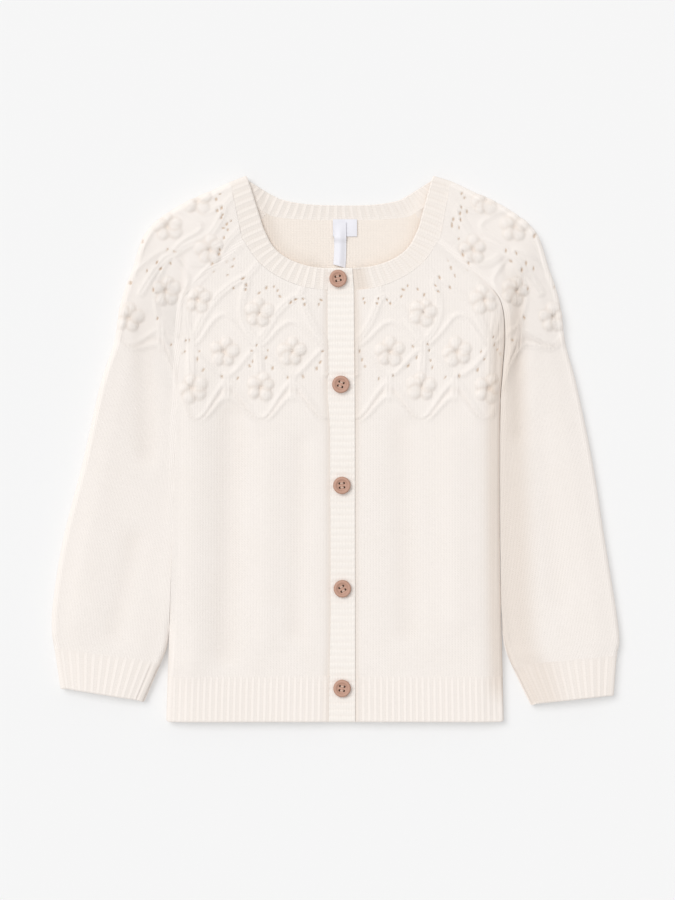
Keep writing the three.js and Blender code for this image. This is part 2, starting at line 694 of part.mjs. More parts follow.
// Neckband: one strip from the left front over both shoulders to the right front
const NECKBAND_END = NECK_JOIN - 0.03;
const frontStations = spaced(0, 1.95, 60);
const sleeveStations = joined(spaced(0.1, 2, 42), spaced(2, 3, 24), spaced(3, 4.95, 44));
const backStations = spaced(0.1, 2.9, 90);
function route(stations, point) {
  return stations.map((across) => ({ at: (level) => point(across, level), across }));
}
const neckRoute = [
  ...route(frontStations, (across, level) => frontPoint('left', across, level)),
  ...route(sleeveStations, (across, level) => sleevePoint('left', across, level)),
  ...route(backStations, backPoint),
  ...route(sleeveStations.toReversed(), (across, level) => sleevePoint('right', across, level)),
  ...route(frontStations.toReversed(), (across, level) => frontPoint('right', across, level)),
];
const neckRun = [0];
for (let k = 1; k < neckRoute.length; k++) {
  const step = neckRoute[k].at(0.5).distanceTo(neckRoute[k - 1].at(0.5));
  neckRun.push(neckRun[k - 1] + step);
}
const neckLength = neckRun[neckRun.length - 1];

function neckbandPoint(part, level) {
  const run = clamp(part, 0, 1) * neckLength;
  let k = neckRun.findIndex((length) => length > run);
  if (k < 1) k = neckRun.length - 1;
  const t = (run - neckRun[k - 1]) / (neckRun[k] - neckRun[k - 1]);
  return neckRoute[k - 1].at(level).lerp(neckRoute[k].at(level), t);
}

const neckRibs = Math.round(neckLength / NECK_RIB_PITCH);
const neckColumns = spaced(0, 1, neckRibs * 2);

// The columns nearest to where the band starts and ends its turn move there
const turnEnds = neckRoute.flatMap(({ across }, k) => (
  across === 2 || across === 3 ? [neckRun[k] / neckLength] : []
));
for (const part of turnEnds) neckColumns[Math.round(part * neckRibs * 2)] = part;
const overShoulder = (part) => {
  const { z } = neckbandPoint(part, NECKBAND_END);
  return turnEnds.includes(part) || (z > FLOOR_LAYER + 0.1 && z < FOLD_TOP);
};
add('neckband', clothWall({
  middle: neckbandPoint,
  facing: 1,
  step: 0.1 / neckLength,
  patches: [{ across: neckColumns, level: [0, NECKBAND_END] }],
  plain: {
    across: neckColumns.filter((part, k) => k % 2 === 0 || overShoulder(part)),
    level: [0, NECKBAND_END],
  },
  relief: (part, level) => {
    const spot = neckbandPoint(part, level);
    return spot.z > FOLD_TOP - FOLD_RADIUS ? ribAt(part * neckRibs, 1) : 0;
  },
}), creamKnit);

// Front bands: the one with the buttonholes lies on the one that carries the buttons
function bandPoint(table, height, across, down) {
  const at = down * (table.length - 1);
  const row = clamp(Math.floor(at), 0, table.length - 2);
  const t = at - row;
  const x0 = lerp(table[row].left, table[row + 1].left, t);
  const x1 = lerp(table[row].right, table[row + 1].right, t);
  return new THREE.Vector3(lerp(x0, x1, across), lerp(table[row].y, table[row + 1].y, t), height);
}

const holeBandLevels = [];
for (let row = 1; row < HOLE_BAND.length; row++) {
  const length = HOLE_BAND[row - 1].y - HOLE_BAND[row].y;
  const steps = Math.round(length / BAND_RIB_PITCH) * 2;
  const part = spaced((row - 1) / (HOLE_BAND.length - 1), row / (HOLE_BAND.length - 1), steps);
  holeBandLevels.push(...part.slice(row === 1 ? 0 : 1));
}
add('buttonhole_band', clothWall({
  middle: (across, level) => bandPoint(HOLE_BAND, HOLE_BAND_HEIGHT, across, level),
  facing: -1,
  wall: BAND_WALL,
  patches: [{ across: [0, 1], level: holeBandLevels }],
  plain: { across: [0, 1], level: spaced(0, 1, 9) },
  relief: (across, level) => (holeBandLevels.indexOf(level) % 2 ? 0 : -RIB_DEPTH),
}), creamKnit);
add('button_band', clothWall({
  middle: (across, level) => bandPoint(BUTTON_BAND, BUTTON_BAND_HEIGHT, across, level),
  facing: -1,
  wall: BAND_WALL,
  patches: [{ across: [0, 1], level: spaced(0, 1, 6) }],
  plain: { across: [0, 1], level: spaced(0, 1, 6) },
}), creamKnit);

// Buttons with four sewing holes and a softened rim
const RIM_BEVEL = 0.5;
function circle(x, y, radius, corners) {
  return spaced(0, 2 * Math.PI, corners).slice(1).map((angle) => (
    new THREE.Vector2(x + radius * Math.cos(angle), y + radius * Math.sin(angle))
  ));
}
const buttonShape = new THREE.Shape(circle(0, 0, BUTTON_RADIUS - RIM_BEVEL, 16));
for (const [signX, signY] of [[1, 1], [-1, 1], [-1, -1], [1, -1]]) {
  const [x, y] = [signX * BUTTON_HOLE_SPREAD, signY * BUTTON_HOLE_SPREAD];
  buttonShape.holes.push(new THREE.Path(circle(x, y, BUTTON_HOLE_RADIUS, 5)));
}
BUTTONS.forEach(({ x, y, turn: degrees }, k) => {
  const disc = new THREE.ExtrudeGeometry(buttonShape, {
    depth: BUTTON_THICKNESS - 2 * RIM_BEVEL,
    bevelThickness: RIM_BEVEL,
    bevelSize: RIM_BEVEL,
    bevelSegments: 1,
  });
  const button = add(`button_${k + 1}`, disc, wood);
  button.position.set(x, y, BUTTON_HEIGHT + RIM_BEVEL);
  button.rotation.z = degToRad(degrees);
});

// Labels inside the back of the neck, both blank
const LABEL_WALL = 1.0;
const LABEL_HEIGHT = WALL + SEAM_GAP + LABEL_WALL / 2;
const NECK_LABEL = { left: -2.0, right: 13.9, top: 152.6, bottom: 141.2 };
const CARE_LABEL = { left: -1.4, right: 6.6, top: 150.6, bottom: 121.5, dropFrom: 140.4, dropTo: 136.4 };
add('neck_label', clothWall({
  middle: (across, level) => new THREE.Vector3(
    lerp(NECK_LABEL.left, NECK_LABEL.right, across),
    lerp(NECK_LABEL.top, NECK_LABEL.bottom, level),
    LABEL_HEIGHT,
  ),
  facing: -1,
  wall: LABEL_WALL,
  patches: [{ across: [0, 1], level: [0, 1] }],
  plain: { across: [0, 1], level: [0, 1] },
}), satin);
add('care_label', clothWall({
  middle: (across, level) => {
    const y = lerp(CARE_LABEL.top, CARE_LABEL.bottom, level);
    const lifted = 1 - smoothstep(CARE_LABEL.dropFrom - y, 0, CARE_LABEL.dropFrom - CARE_LABEL.dropTo);
    return new THREE.Vector3(
      lerp(CARE_LABEL.left, CARE_LABEL.right, across),
      y,
      LABEL_HEIGHT + lifted * (LABEL_WALL + SEAM_GAP),
    );
  },
  facing: -1,
  wall: LABEL_WALL,
  patches: [{ across: [0, 1], level: spaced(0, 1, 14) }],
  plain: { across: [0, 1], level: spaced(0, 1, 14) },
}), satin);

export default garment;
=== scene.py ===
import math
from functools import partial

import bmesh
import bpy
import numpy as np
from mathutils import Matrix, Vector


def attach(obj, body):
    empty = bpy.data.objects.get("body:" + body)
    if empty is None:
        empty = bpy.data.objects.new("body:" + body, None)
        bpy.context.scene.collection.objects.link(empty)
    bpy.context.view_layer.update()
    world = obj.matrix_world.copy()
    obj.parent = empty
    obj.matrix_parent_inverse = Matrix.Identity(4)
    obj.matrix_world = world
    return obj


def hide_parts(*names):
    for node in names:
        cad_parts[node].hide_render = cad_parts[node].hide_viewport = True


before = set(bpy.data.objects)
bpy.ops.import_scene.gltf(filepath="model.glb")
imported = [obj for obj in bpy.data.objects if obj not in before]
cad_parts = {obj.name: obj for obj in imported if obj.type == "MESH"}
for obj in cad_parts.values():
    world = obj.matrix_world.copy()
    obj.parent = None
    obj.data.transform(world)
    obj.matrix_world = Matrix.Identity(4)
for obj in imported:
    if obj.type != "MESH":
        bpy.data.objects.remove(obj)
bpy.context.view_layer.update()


# The fronts: two panels of soft cream yarn in stocking stitch, with flowers of knitted
# bobbles in a raised lattice over the yoke. They are knitted on to the ribbed neckband
# above and the ribbed hem below, and turn down at the side to meet the back.

# Sizes are in millimetres, seen from above, and rows are numbered from the neck downwards
WALL = 2.8
HALF = WALL / 2
SEAM_GAP = 0.3
FLOOR_LAYER = HALF
FOLD_TOP = 6.4
LOFT = 1.0
NECK_LOFT = 0.3
LOFT_SPAN = 14
FOLD_RADIUS = (FOLD_TOP - FLOOR_LAYER) / 2
BEND_LENGTH = (FOLD_RADIUS - SEAM_GAP / 2) * math.pi / 2
HOLE_BAND_HEIGHT = 7.15
NECK_JOIN = 1
YOKE_END = 7.4
YOKE_FADE = 0.3
HEM_JOIN = 11
HEM_END = 12
SIDES = ("left", "right")
FACING = {"right": -1, "left": 1}

YOKE = {
    "right": {
        "seam_x": [52.8, 66.7, 79.5, 96.0, 108.5, 111.5, 110.2, 108.6],
        "seam_y": [143.2, 136.6, 125.5, 113.0, 98.5, 77.2, 55.4, 33.0],
        "fold_x": [64.0, 76.6, 91.1, 112.2, 132.0, 140.6, 147.5, 151.5],
        "fold_y": [181.5, 177.5, 170.6, 160.2, 144.0, 120.1, 99.0, 71.3],
        "under_x": [46.0, 52.5, 61.4, 74.6, 88.4, 97.7, 104.3, 108.6],
        "under_y": [167.5, 156.5, 143.9, 126.7, 104.3, 81.8, 58.1, 33.0],
    },
    "left": {
        "seam_x": [-46.2, -60.1, -72.9, -88.8, -99.8, -102.3, -103.0, -104.3],
        "seam_y": [143.2, 136.6, 125.5, 113.5, 99.0, 77.2, 55.4, 33.0],
        "fold_x": [-59.1, -70.6, -85.1, -105.6, -125.6, -134.0, -141.7, -146.5],
        "fold_y": [181.5, 176.9, 170.0, 160.2, 143.8, 120.8, 99.0, 71.9],
        "under_x": [-40.7, -46.5, -54.8, -68.0, -81.8, -91.1, -97.7, -104.3],
        "under_y": [168.0, 156.5, 143.9, 126.7, 104.3, 81.8, 58.1, 33.0],
    },
}
YOKE_BOTH = {
    "band_y": [120.1, 105.6, 99.0, 89.8, 76.6, 63.4, 48.8, 31.0],
    "swing": [68, 62, 45, 35, 35, 22, 8, 0],
    "bend": [0, 0, 0, 6, 48, 70, 82, 90],
    "under_bend": [0, 0, 0, 0, 0, 0, 28, 90],
    "sag": [4.0, 2.6, 2.4, 1.8, 0.8, 0, 0, 0],
}
BODY_ROWS = [6.6, -46.2, -99.0, -149.2, -179.5]
BODY_SIDE = {
    "right": [108.2, 108.2, 108.9, 110.2, 110.9],
    "left": [-105.6, -107.3, -108.9, -111.2, -112.2],
}
FRONT_EDGE = {
    "y": [120.1, 105.6, 33.0, 15.0, -60.0, -105.0, -135.0, -179.5],
    "right": {"x": [10.95, 12.05, 12.65, 12.7, 12.77, 12.85, 12.9, 12.95], "height": 7.1},
    "left": {"x": [-5.55, -5.65, -5.25, -3.95, -3.55, -3.35, -4.05, -4.75], "height": HOLE_BAND_HEIGHT},
}


def below_armpit(seam_x, seam_y, **columns):
    """Rows of a straight stretch, where both seams stand upright."""
    count = len(seam_x)
    rows = {"seam_x": seam_x, "seam_y": seam_y, "under_x": seam_x, "under_y": seam_y}
    rows |= {"swing": [0] * count, "bend": [90] * count, "under_bend": [90] * count}
    return rows | {"sag": [0] * count} | columns


def joined_rows(side, stretch):
    """The rows of the yoke, and those of the straight stretch below them."""
    yoke = YOKE[side] | YOKE_BOTH
    return {name: np.array(yoke[name] + stretch[name], float) for name in stretch}


# How far each edge turns down over the yoke, in degrees. The sleeves' edges lie almost level,
# and so does the left front's. The right front's rolls down.
SOFT_TURNS = {"level": [0, 0, 0, 2, 6, 6, 6, 6], "rolled": [0, 0, 0, 6, 34, 55, 60, 60]}
STRAIGHT_END = (-112, -134)


def softened(kind, rows):
    """Rows whose edge turns as its kind does, and stands upright again beside the hem."""
    yoke_rows = len(SOFT_TURNS[kind])
    last = SOFT_TURNS[kind][-1]
    falling = np.interp(-rows["seam_y"][yoke_rows:], [-y for y in STRAIGHT_END], [last, 90])
    rows["bend"] = np.concatenate([SOFT_TURNS[kind], falling])
    return rows


body_rows = {}
for side in SIDES:
    stretch = below_armpit(BODY_SIDE[side], BODY_ROWS, band_y=BODY_ROWS)
    body_rows[side] = softened("level" if side == "left" else "rolled", joined_rows(side, stretch))


def column(rows, name, at):
    """Smooth value of one column of the rows at a row number between them."""
    values = rows[name]
    before = 2 * values[0] - values[1]
    after = 2 * values[-1] - values[-2]
    padded = np.concatenate([[before], values, [after]])
    first = np.clip(np.floor(at).astype(int), 0, len(values) - 2)
    t = at - first
    a, b, c, d = (padded[first + k] for k in range(4))
    bend = 2 * a - 5 * b + 4 * c - d
    twist = 3 * b - a - 3 * c + d
    return 0.5 * (2 * b + (c - a) * t + bend * t * t + twist * t**3)


def smooth(distance, span):
    """A soft step from 0 to 1 over a span."""
    t = np.clip(distance / span, 0, 1)
    return t * t * (3 - 2 * t)


def edge_at(rows, name, side, level):
    """Point of an edge path, and the direction in the plane that leads out over it."""
    def at(where):
        return np.stack([column(rows, f"{name}_x", where), column(rows, f"{name}_y", where)], -1)
    here = at(level)
    run = at(level + 0.02) - here
    run = run / np.linalg.norm(run, axis=-1, keepdims=True)
    out = np.stack([-run[..., 1], run[..., 0]], -1)
    return here, -out if side == "left" else out


def turn(angle, part):
    """How far a turned edge reaches, and how far it drops, after a part of the turn."""
    angle = np.maximum(angle, 1e-3)
    radius = BEND_LENGTH / angle
    return radius * np.sin(angle * part), radius * (1 - np.cos(angle * part))


# Soft folds: troughs in the upper layer, and ridges where the depth is below zero
RIPPLE = 0.12
FOLDS = [
    {"x1": -69, "y1": 22, "x2": -73, "y2": -132, "width": 10, "depth": 1.7},
    {"x1": -24, "y1": 4, "x2": -27, "y2": -120, "width": 8, "depth": 0.9},
    {"x1": -45, "y1": 0, "x2": -47, "y2": -125, "width": 8, "depth": -0.7},
    {"x1": 43, "y1": 14, "x2": 46, "y2": -118, "width": 9, "depth": 1.1},
    {"x1": 77, "y1": 6, "x2": 79, "y2": -110, "width": 11, "depth": -1.2},
    {"x1": -128, "y1": 84, "x2": -125, "y2": -2, "width": 8, "depth": 1.6},
    {"x1": -133, "y1": -60, "x2": -146, "y2": -120, "width": 8, "depth": 1.0},
    {"x1": 126, "y1": 70, "x2": 113, "y2": 42, "width": 4, "depth": 0.9},
    {"x1": 132, "y1": 20, "x2": 146, "y2": -100, "width": 8, "depth": 0.6},
    {"x1": 121, "y1": 112, "x2": 119, "y2": 12, "width": 8, "depth": 1.3},
    {"x1": 111, "y1": 124, "x2": 111, "y2": 104, "width": 3.5, "depth": 1.2},
    {"x1": -101, "y1": 128, "x2": -101, "y2": 106, "width": 3.5, "depth": 1.0},
]


def near_line(line, x, y):
    """How near a straight line places lie: 1 on it, and soon 0 beyond its width."""
    run_x, run_y = line["x2"] - line["x1"], line["y2"] - line["y1"]
    along = ((x - line["x1"]) * run_x + (y - line["y1"]) * run_y) / (run_x**2 + run_y**2)
    part = np.clip(along, 0, 1)
    away = np.hypot(x - line["x1"] - part * run_x, y - line["y1"] - part * run_y)
    return np.exp(-((away / line["width"]) ** 2))


def fold_depth(x, y):
    depth = RIPPLE * np.sin(x / 17 + y / 41) * np.sin(y / 23 - x / 60)
    for fold in FOLDS:
        depth = depth + fold["depth"] * near_line(fold, x, y)
    return depth


# Long swells over the whole width of the cloth, also where it is sewn
SWELLS = [
    {"x1": -95, "y1": 52, "x2": -97, "y2": -138, "width": 14, "rise": 2.3},
    {"x1": -152, "y1": 60, "x2": -166, "y2": -110, "width": 12, "rise": 0.9},
    {"x1": 110, "y1": 96, "x2": 112, "y2": -170, "width": 10, "rise": -1.1},
]


def swell(x, y):
    rise = 0
    for part in SWELLS:
        rise = rise + part["rise"] * near_line(part, x, y)
    return rise


def loft(level):
    """How far the cloth stands above a pressed fold: least at the neck's own edge."""
    return LOFT * (NECK_LOFT + (1 - NECK_LOFT) * np.clip(level, 0, 1))


def seam_top(level, bend):
    """Middle height of the upper layer where it starts to turn down at a seam."""
    return FOLD_TOP + loft(level) * (1 - np.sin(bend))


def upper_height(x, y, level, seam_distance, seam_height, far_distance, far_height):
    """Middle height of the upper layer between a seam and its far edge."""
    top = FOLD_TOP + loft(level)
    near_seam = (top - seam_height) * (1 - smooth(seam_distance, LOFT_SPAN))
    near_far = (top - far_height) * (1 - smooth(far_distance, LOFT_SPAN))
    inside = smooth(np.minimum(seam_distance, far_distance), LOFT_SPAN)
    return top - near_seam - near_far - fold_depth(x, y) * inside


def front_point(side, across, level):
    """Across runs 0 to 1 from the front band to the side, then 1 to 2 over the turn."""
    rows = body_rows[side]
    here, out = edge_at(rows, "seam", side, level)
    bend = np.radians(np.clip(column(rows, "bend", level), 0, 90))
    whole, _ = turn(bend, 1)
    start = here - out * (HALF * np.sin(bend) + whole)[..., None]
    seam_height = seam_top(level, bend)
    edge = FRONT_EDGE[side]
    band_y = column(rows, "band_y", level)
    band_x = np.interp(-band_y, [-y for y in FRONT_EDGE["y"]], edge["x"])
    chord = np.hypot(start[..., 0] - band_x, start[..., 1] - band_y)
    swing = np.radians(column(rows, "swing", level))
    t = np.minimum(across, 1)
    leave = t * (1 - t) ** 2 * chord
    arrive = t * t * (t - 1) * chord
    ease = smooth(t, 1)
    sign = -1 if side == "left" else 1
    x = band_x + (start[..., 0] - band_x) * ease + sign * (leave + arrive * np.cos(swing))
    y = band_y + (start[..., 1] - band_y) * ease + arrive * np.sin(swing)
    z = upper_height(x, y, level, (1 - t) * chord, seam_height, t * chord, edge["height"])
    reach, drop = turn(bend, np.maximum(across - 1, 0))
    turned = start + out * reach[..., None]
    over = across > 1
    x, y = np.where(over, turned[..., 0], x), np.where(over, turned[..., 1], y)
    kept = 1 - np.clip(across - 1, 0, 1) * np.clip(bend, 0, 1)
    return np.stack([x, y, np.where(over, seam_height - drop, z) + swell(x, y) * kept], -1)


# Lattice of the yoke: where each ring crosses each half column, counted from the front
# band (0) over the seam (between 4 and 5) to the sleeve's fold (8)
RINGS_X = np.array([
    [13, 28, 44, 57, 66, 69, 72, 74.5, 76.6],
    [13, 35.5, 57.4, 79, 97.5, 100, 90, 92, 98],
    [13, 35.6, 57.5, 80, 102, 118.5, 118, 117.5, 122],
    [13, 35, 56.1, 78.5, 101, 121.5, 143, 148, 149],
    [13, 35, 56.1, 78.5, 100.5, 118, 146.5, 152, 154],
])
RINGS_Y = np.array([
    [104, 108, 114, 124, 135, 147, 157, 167, 177],
    [88, 88, 90.4, 94, 99, 114, 132, 149, 164],
    [64.7, 64.7, 64.7, 64.7, 66, 105, 127, 147, 156],
    [41, 41, 41.6, 41, 40.3, 73, 87.5, 105, 118],
    [17.5, 17.5, 17.5, 17.5, 18, 51, 68.5, 84, 95],
])
MIDDLE_X = 3.3
LAST_HALF = RINGS_X.shape[1] - 1

# Raised lines: ring height at the even and the odd half column, or a stem on one kind
LINES = [
    {"even": 1.69, "odd": 0.35, "spread": 1.1, "height": 0.8},
    {"even": 1.85, "odd": 1.16, "spread": 0, "height": 0.9},
    {"even": 1.92, "odd": 2.66, "spread": 0, "height": 0.9},
    {"even": 3.86, "odd": 2.85, "spread": 0, "height": 0.85},
    {"even": 3.93, "odd": 3.05, "spread": 0, "height": -0.5},
    {"even": 4.0, "odd": 3.25, "spread": 0, "height": 0.9},
]
STEMS = [
    {"odd": 0, "from": 1.75, "to": 2.6, "spread": 1.2, "height": 1.0},
    {"odd": 1, "from": 2.66, "to": 3.25, "spread": 1.2, "height": 0.9},
    {"odd": 1, "from": 0.0, "to": 0.35, "spread": 0.9, "height": 0.6},
]
LINE_WIDTH = 1.6
LINE_STEPS = 8
ROPE_PITCH = 2.4
ROPE_SHARE = 0.22
TROUGH_SHADE = 0.15

FLOWERS = [
    {"ring": 1, "columns": [2, 4, 6, 8]},
    {"ring": 2, "columns": [1, 3, 5, 7]},
    {"ring": 3, "columns": [2, 4, 6]},
]
PETALS = 5
PETAL_RADIUS = 4.1
PETAL_SPREAD = 5.5
PETAL_HEIGHT = 1.85
PETAL_BLEND = 3.5
PETAL_LENGTH = 1.06
PETAL_BREADTH = 0.96
PETAL_SQUARENESS = 2.3
PETAL_FULLNESS = 2.4
PETAL_ROUNDNESS = 0.7
PETAL_STITCH = 2.2
PETAL_STITCH_DEPTH = 0.1
PETAL_RING_SHADE = 0.3
PETAL_RING_WIDTH = 0.24
HEART_RADIUS = 2.3
HEART_DEPTH = 0.9
HEART_SHADE = 0.42

# Eyelets beside the lattice, as steps from a half column, and the ring that they lie on
EYELETS = [
    {"odd": 0, "half": -0.39, "ring": 0.47, "radius": 0.65},
    {"odd": 0, "half": -0.24, "ring": 0.33, "radius": 0.65},
    {"odd": 0, "half": -0.08, "ring": 0.25, "radius": 0.6},
    {"odd": 0, "half": 0.21, "ring": 0.36, "radius": 0.7},
    {"odd": 0, "half": 0.29, "ring": 0.53, "radius": 0.65},
    {"odd": 1, "half": -0.27, "ring": 0.56, "radius": 0.65},
    {"odd": 1, "half": -0.17, "ring": 0.45, "radius": 0.65},
    {"odd": 1, "half": 0.08, "ring": 0.44, "radius": 0.65},
    {"odd": 1, "half": 0.17, "ring": 0.58, "radius": 0.7},
    {"odd": 0, "half": -0.3, "ring": 1.92, "radius": 0.6},
    {"odd": 0, "half": -0.2, "ring": 2.16, "radius": 0.7},
    {"odd": 0, "half": -0.41, "ring": 2.4, "radius": 0.7},
    {"odd": 0, "half": 0.08, "ring": 1.82, "radius": 0.6},
    {"odd": 0, "half": 0.17, "ring": 2.0, "radius": 0.65},
    {"odd": 0, "half": 0.19, "ring": 2.25, "radius": 0.7},
    {"odd": 0, "half": 0.31, "ring": 2.43, "radius": 0.7},
    {"odd": 1, "half": -0.3, "ring": 2.74, "radius": 0.65},
    {"odd": 1, "half": 0.12, "ring": 2.7, "radius": 0.65},
]
EYELET_DEPTH = 0.7
EYELET_LENGTH = 1.6
EYELET_BREADTH = 0.85
EYELET_CLEAR = 1.4
chance = np.random.default_rng(7)


def between(values, at):
    """Smooth value of a list at a place between its entries."""
    return column({"it": np.asarray(values, float)}, "it", np.asarray(at, float))


def lattice_point(side, half, ring):
    """Where a ring of the lattice meets a half column on one side of the cardigan."""
    x = between([between(row, half) for row in RINGS_X], ring)
    y = between([between(row, half) for row in RINGS_Y], ring)
    return np.array([2 * MIDDLE_X - x if side == "left" else x, y], float)


def lattice_lines(side):
    """Each raised line as its points, the distance between its two cords and its height."""
    lines = []
    for odd in range(1, LAST_HALF + 1, 2):
        for even in (odd - 1, odd + 1):
            if even > LAST_HALF:
                continue
            for line in LINES:
                points = []
                for t in np.linspace(0, 1, LINE_STEPS + 1):
                    ring = line["even"] + (line["odd"] - line["even"]) * t * t * (3 - 2 * t)
                    points.append(lattice_point(side, even + (odd - even) * t, ring))
                lines.append((points, line["spread"], line["height"]))
    for half in range(LAST_HALF + 1):
        for stem in STEMS:
            if half % 2 == stem["odd"]:
                rings = np.linspace(stem["from"], stem["to"], 4)
                points = [lattice_point(side, half, ring) for ring in rings]
                lines.append((points, stem["spread"], stem["height"]))
    return lines


def flower_spots(side):
    """Each flower's heart and its petals, which are never quite alike."""
    flowers = []
    for row in FLOWERS:
        for half in row["columns"]:
            heart = lattice_point(side, half, row["ring"])
            tilt = chance.normal(0, 0.12)
            petals = []
            for k in range(PETALS):
                angle = math.pi / 2 + tilt + k * 2 * math.pi / PETALS + chance.normal(0, 0.13)
                reach = PETAL_SPREAD * chance.uniform(0.9, 1.1)
                radius = PETAL_RADIUS * chance.uniform(0.88, 1.14)
                spot = heart + reach * np.array([math.cos(angle), math.sin(angle)])
                petals.append((spot, radius, angle, PETAL_HEIGHT * chance.uniform(0.8, 1.0)))
            flowers.append((heart, petals))
    return flowers


def eyelet_spots(side):
    """Each eyelet's place, radius and lean."""
    spots = []
    for half in range(LAST_HALF + 1):
        for eyelet in EYELETS:
            at = half + eyelet["half"] + chance.normal(0, 0.03)
            if half % 2 == eyelet["odd"] and 0.1 < at < LAST_HALF - 0.1:
                spot = lattice_point(side, at, eyelet["ring"] + chance.normal(0, 0.03))
                radius = eyelet["radius"] * chance.uniform(0.85, 1.25)
                spots.append((spot, radius, chance.normal(0, 0.5)))
    return spots


pattern = {
    side: {"lines": lattice_lines(side), "flowers": flower_spots(side), "eyelets": eyelet_spots(side)}
    for side in SIDES
}


def along_line(x, y, points):
    """Distance from a line of points, and how far along it the nearest place is."""
    nearest = np.full(x.shape, 1e9)
    run = np.zeros(x.shape)
    passed = 0.0
    for (x0, y0), (x1, y1) in zip(points, points[1:]):
        length = math.hypot(x1 - x0, y1 - y0)
        part = np.clip(((x - x0) * (x1 - x0) + (y - y0) * (y1 - y0)) / length**2, 0, 1)
        away = np.hypot(x - x0 - part * (x1 - x0), y - y0 - part * (y1 - y0))
        closer = away < nearest
        nearest = np.where(closer, away, nearest)
        run = np.where(closer, passed + part * length, run)
        passed += length
    return nearest, run


def yoke_relief(side, spots):
    """Height, eyelet and painted shade of the yoke's pattern at places seen from above."""
    x, y = spots[..., 0], spots[..., 1]
    height = np.zeros(x.shape)
    trough = np.zeros(x.shape)
    for points, spread, rise in pattern[side]["lines"]:
        away, run = along_line(x, y, points)
        shape = np.exp(-(((away - spread) / LINE_WIDTH) ** 2))
        rope = 1 - ROPE_SHARE * (0.5 + 0.5 * np.cos(2 * math.pi * run / ROPE_PITCH))
        if rise > 0:
            height = np.maximum(height, rise * rope * shape)
        else:
            trough = np.minimum(trough, rise * rope * shape)
    height = height + trough * (1 - np.clip(height, 0, 1))
    # Painted shade in the troughs of the lattice
    painted_shade = np.clip(-trough, 0, 1) * TROUGH_SHADE
    for heart, petals in pattern[side]["flowers"]:
        away = np.hypot(x - heart[0], y - heart[1])
        sunk = np.exp(-((away / HEART_RADIUS) ** 2))
        around = np.exp(-((away / (PETAL_SPREAD + PETAL_RADIUS)) ** 6))
        height = height * (1 - around) - HEART_DEPTH * sunk
        # Painted shade in the sunk heart of each flower
        painted_shade = np.maximum(painted_shade, HEART_SHADE * sunk)
        bobbles = np.zeros(x.shape)
        for spot, radius, angle, rise in petals:
            out = (x - spot[0]) * math.cos(angle) + (y - spot[1]) * math.sin(angle)
            aside = (y - spot[1]) * math.cos(angle) - (x - spot[0]) * math.sin(angle)
            oval = (np.abs(out / PETAL_LENGTH) ** PETAL_SQUARENESS
                    + np.abs(aside / PETAL_BREADTH) ** PETAL_SQUARENESS)
            share = oval ** (1 / PETAL_SQUARENESS) / radius
            dome = rise * np.clip(1 - share**PETAL_FULLNESS, 0, 1) ** PETAL_ROUNDNESS
            ridges = np.cos(2 * math.pi * aside / PETAL_STITCH)
            dome = dome * (1 - PETAL_STITCH_DEPTH * ridges * (share < 1))
            bobbles = bobbles + dome**PETAL_BLEND
            # Less painted shade on the petals, and a ring of painted shade round each petal's foot
            painted_shade = painted_shade * (1 - 0.8 * np.clip(1.2 - share, 0, 1))
            ring = np.exp(-(((share - 1.02) / PETAL_RING_WIDTH) ** 2))
            painted_shade = np.maximum(painted_shade, PETAL_RING_SHADE * ring * around)
        bobbles = bobbles ** (1 / PETAL_BLEND)
        height = np.where(bobbles > 0, np.maximum(height, bobbles), height)
    eyelet = np.zeros(x.shape)
    for spot, radius, lean in pattern[side]["eyelets"]:
        aside = (x - spot[0]) * math.cos(lean) + (y - spot[1]) * math.sin(lean)
        along = (y - spot[1]) * math.cos(lean) - (x - spot[0]) * math.sin(lean)
        away = np.hypot(aside / EYELET_BREADTH, along / EYELET_LENGTH) / radius
        eyelet = np.maximum(eyelet, np.exp(-(away**4)))
    eyelet = eyelet * (height < EYELET_CLEAR)
    height = height * (1 - eyelet) - EYELET_DEPTH * eyelet
    return np.stack([height, eyelet, painted_shade], -1)


MIDDLE_Y = 0.9
MILLIMETRE = 0.001


def placed(name, data):
    """A new object with its mesh, light or camera, put into the scene."""
    thing = bpy.data.objects.new(name, data)
    bpy.context.scene.collection.objects.link(thing)
    return thing


def zip_faces(near, far, near_at, far_at, flipped):
    """Joins two rows of points that run the same way: at says where each point lies."""
    faces = []
    i = j = 0
    while i < len(near) - 1 or j < len(far) - 1:
        near_first = j == len(far) - 1 or (i < len(near) - 1 and near_at[i + 1] <= far_at[j + 1])
        if near_first:
            face = (near[i], near[i + 1], far[j])
            i += 1
        else:
            face = (near[i], far[j + 1], far[j])
            j += 1
        faces.append(face[::-1] if flipped else face)
    return faces


def grid_faces(rows, flipped):
    a, b, c, d = rows[:-1, :-1], rows[:-1, 1:], rows[1:, 1:], rows[1:, :-1]
    order = (a, d, c, b) if flipped else (a, b, c, d)
    return np.stack([corner.ravel() for corner in order], -1).tolist()


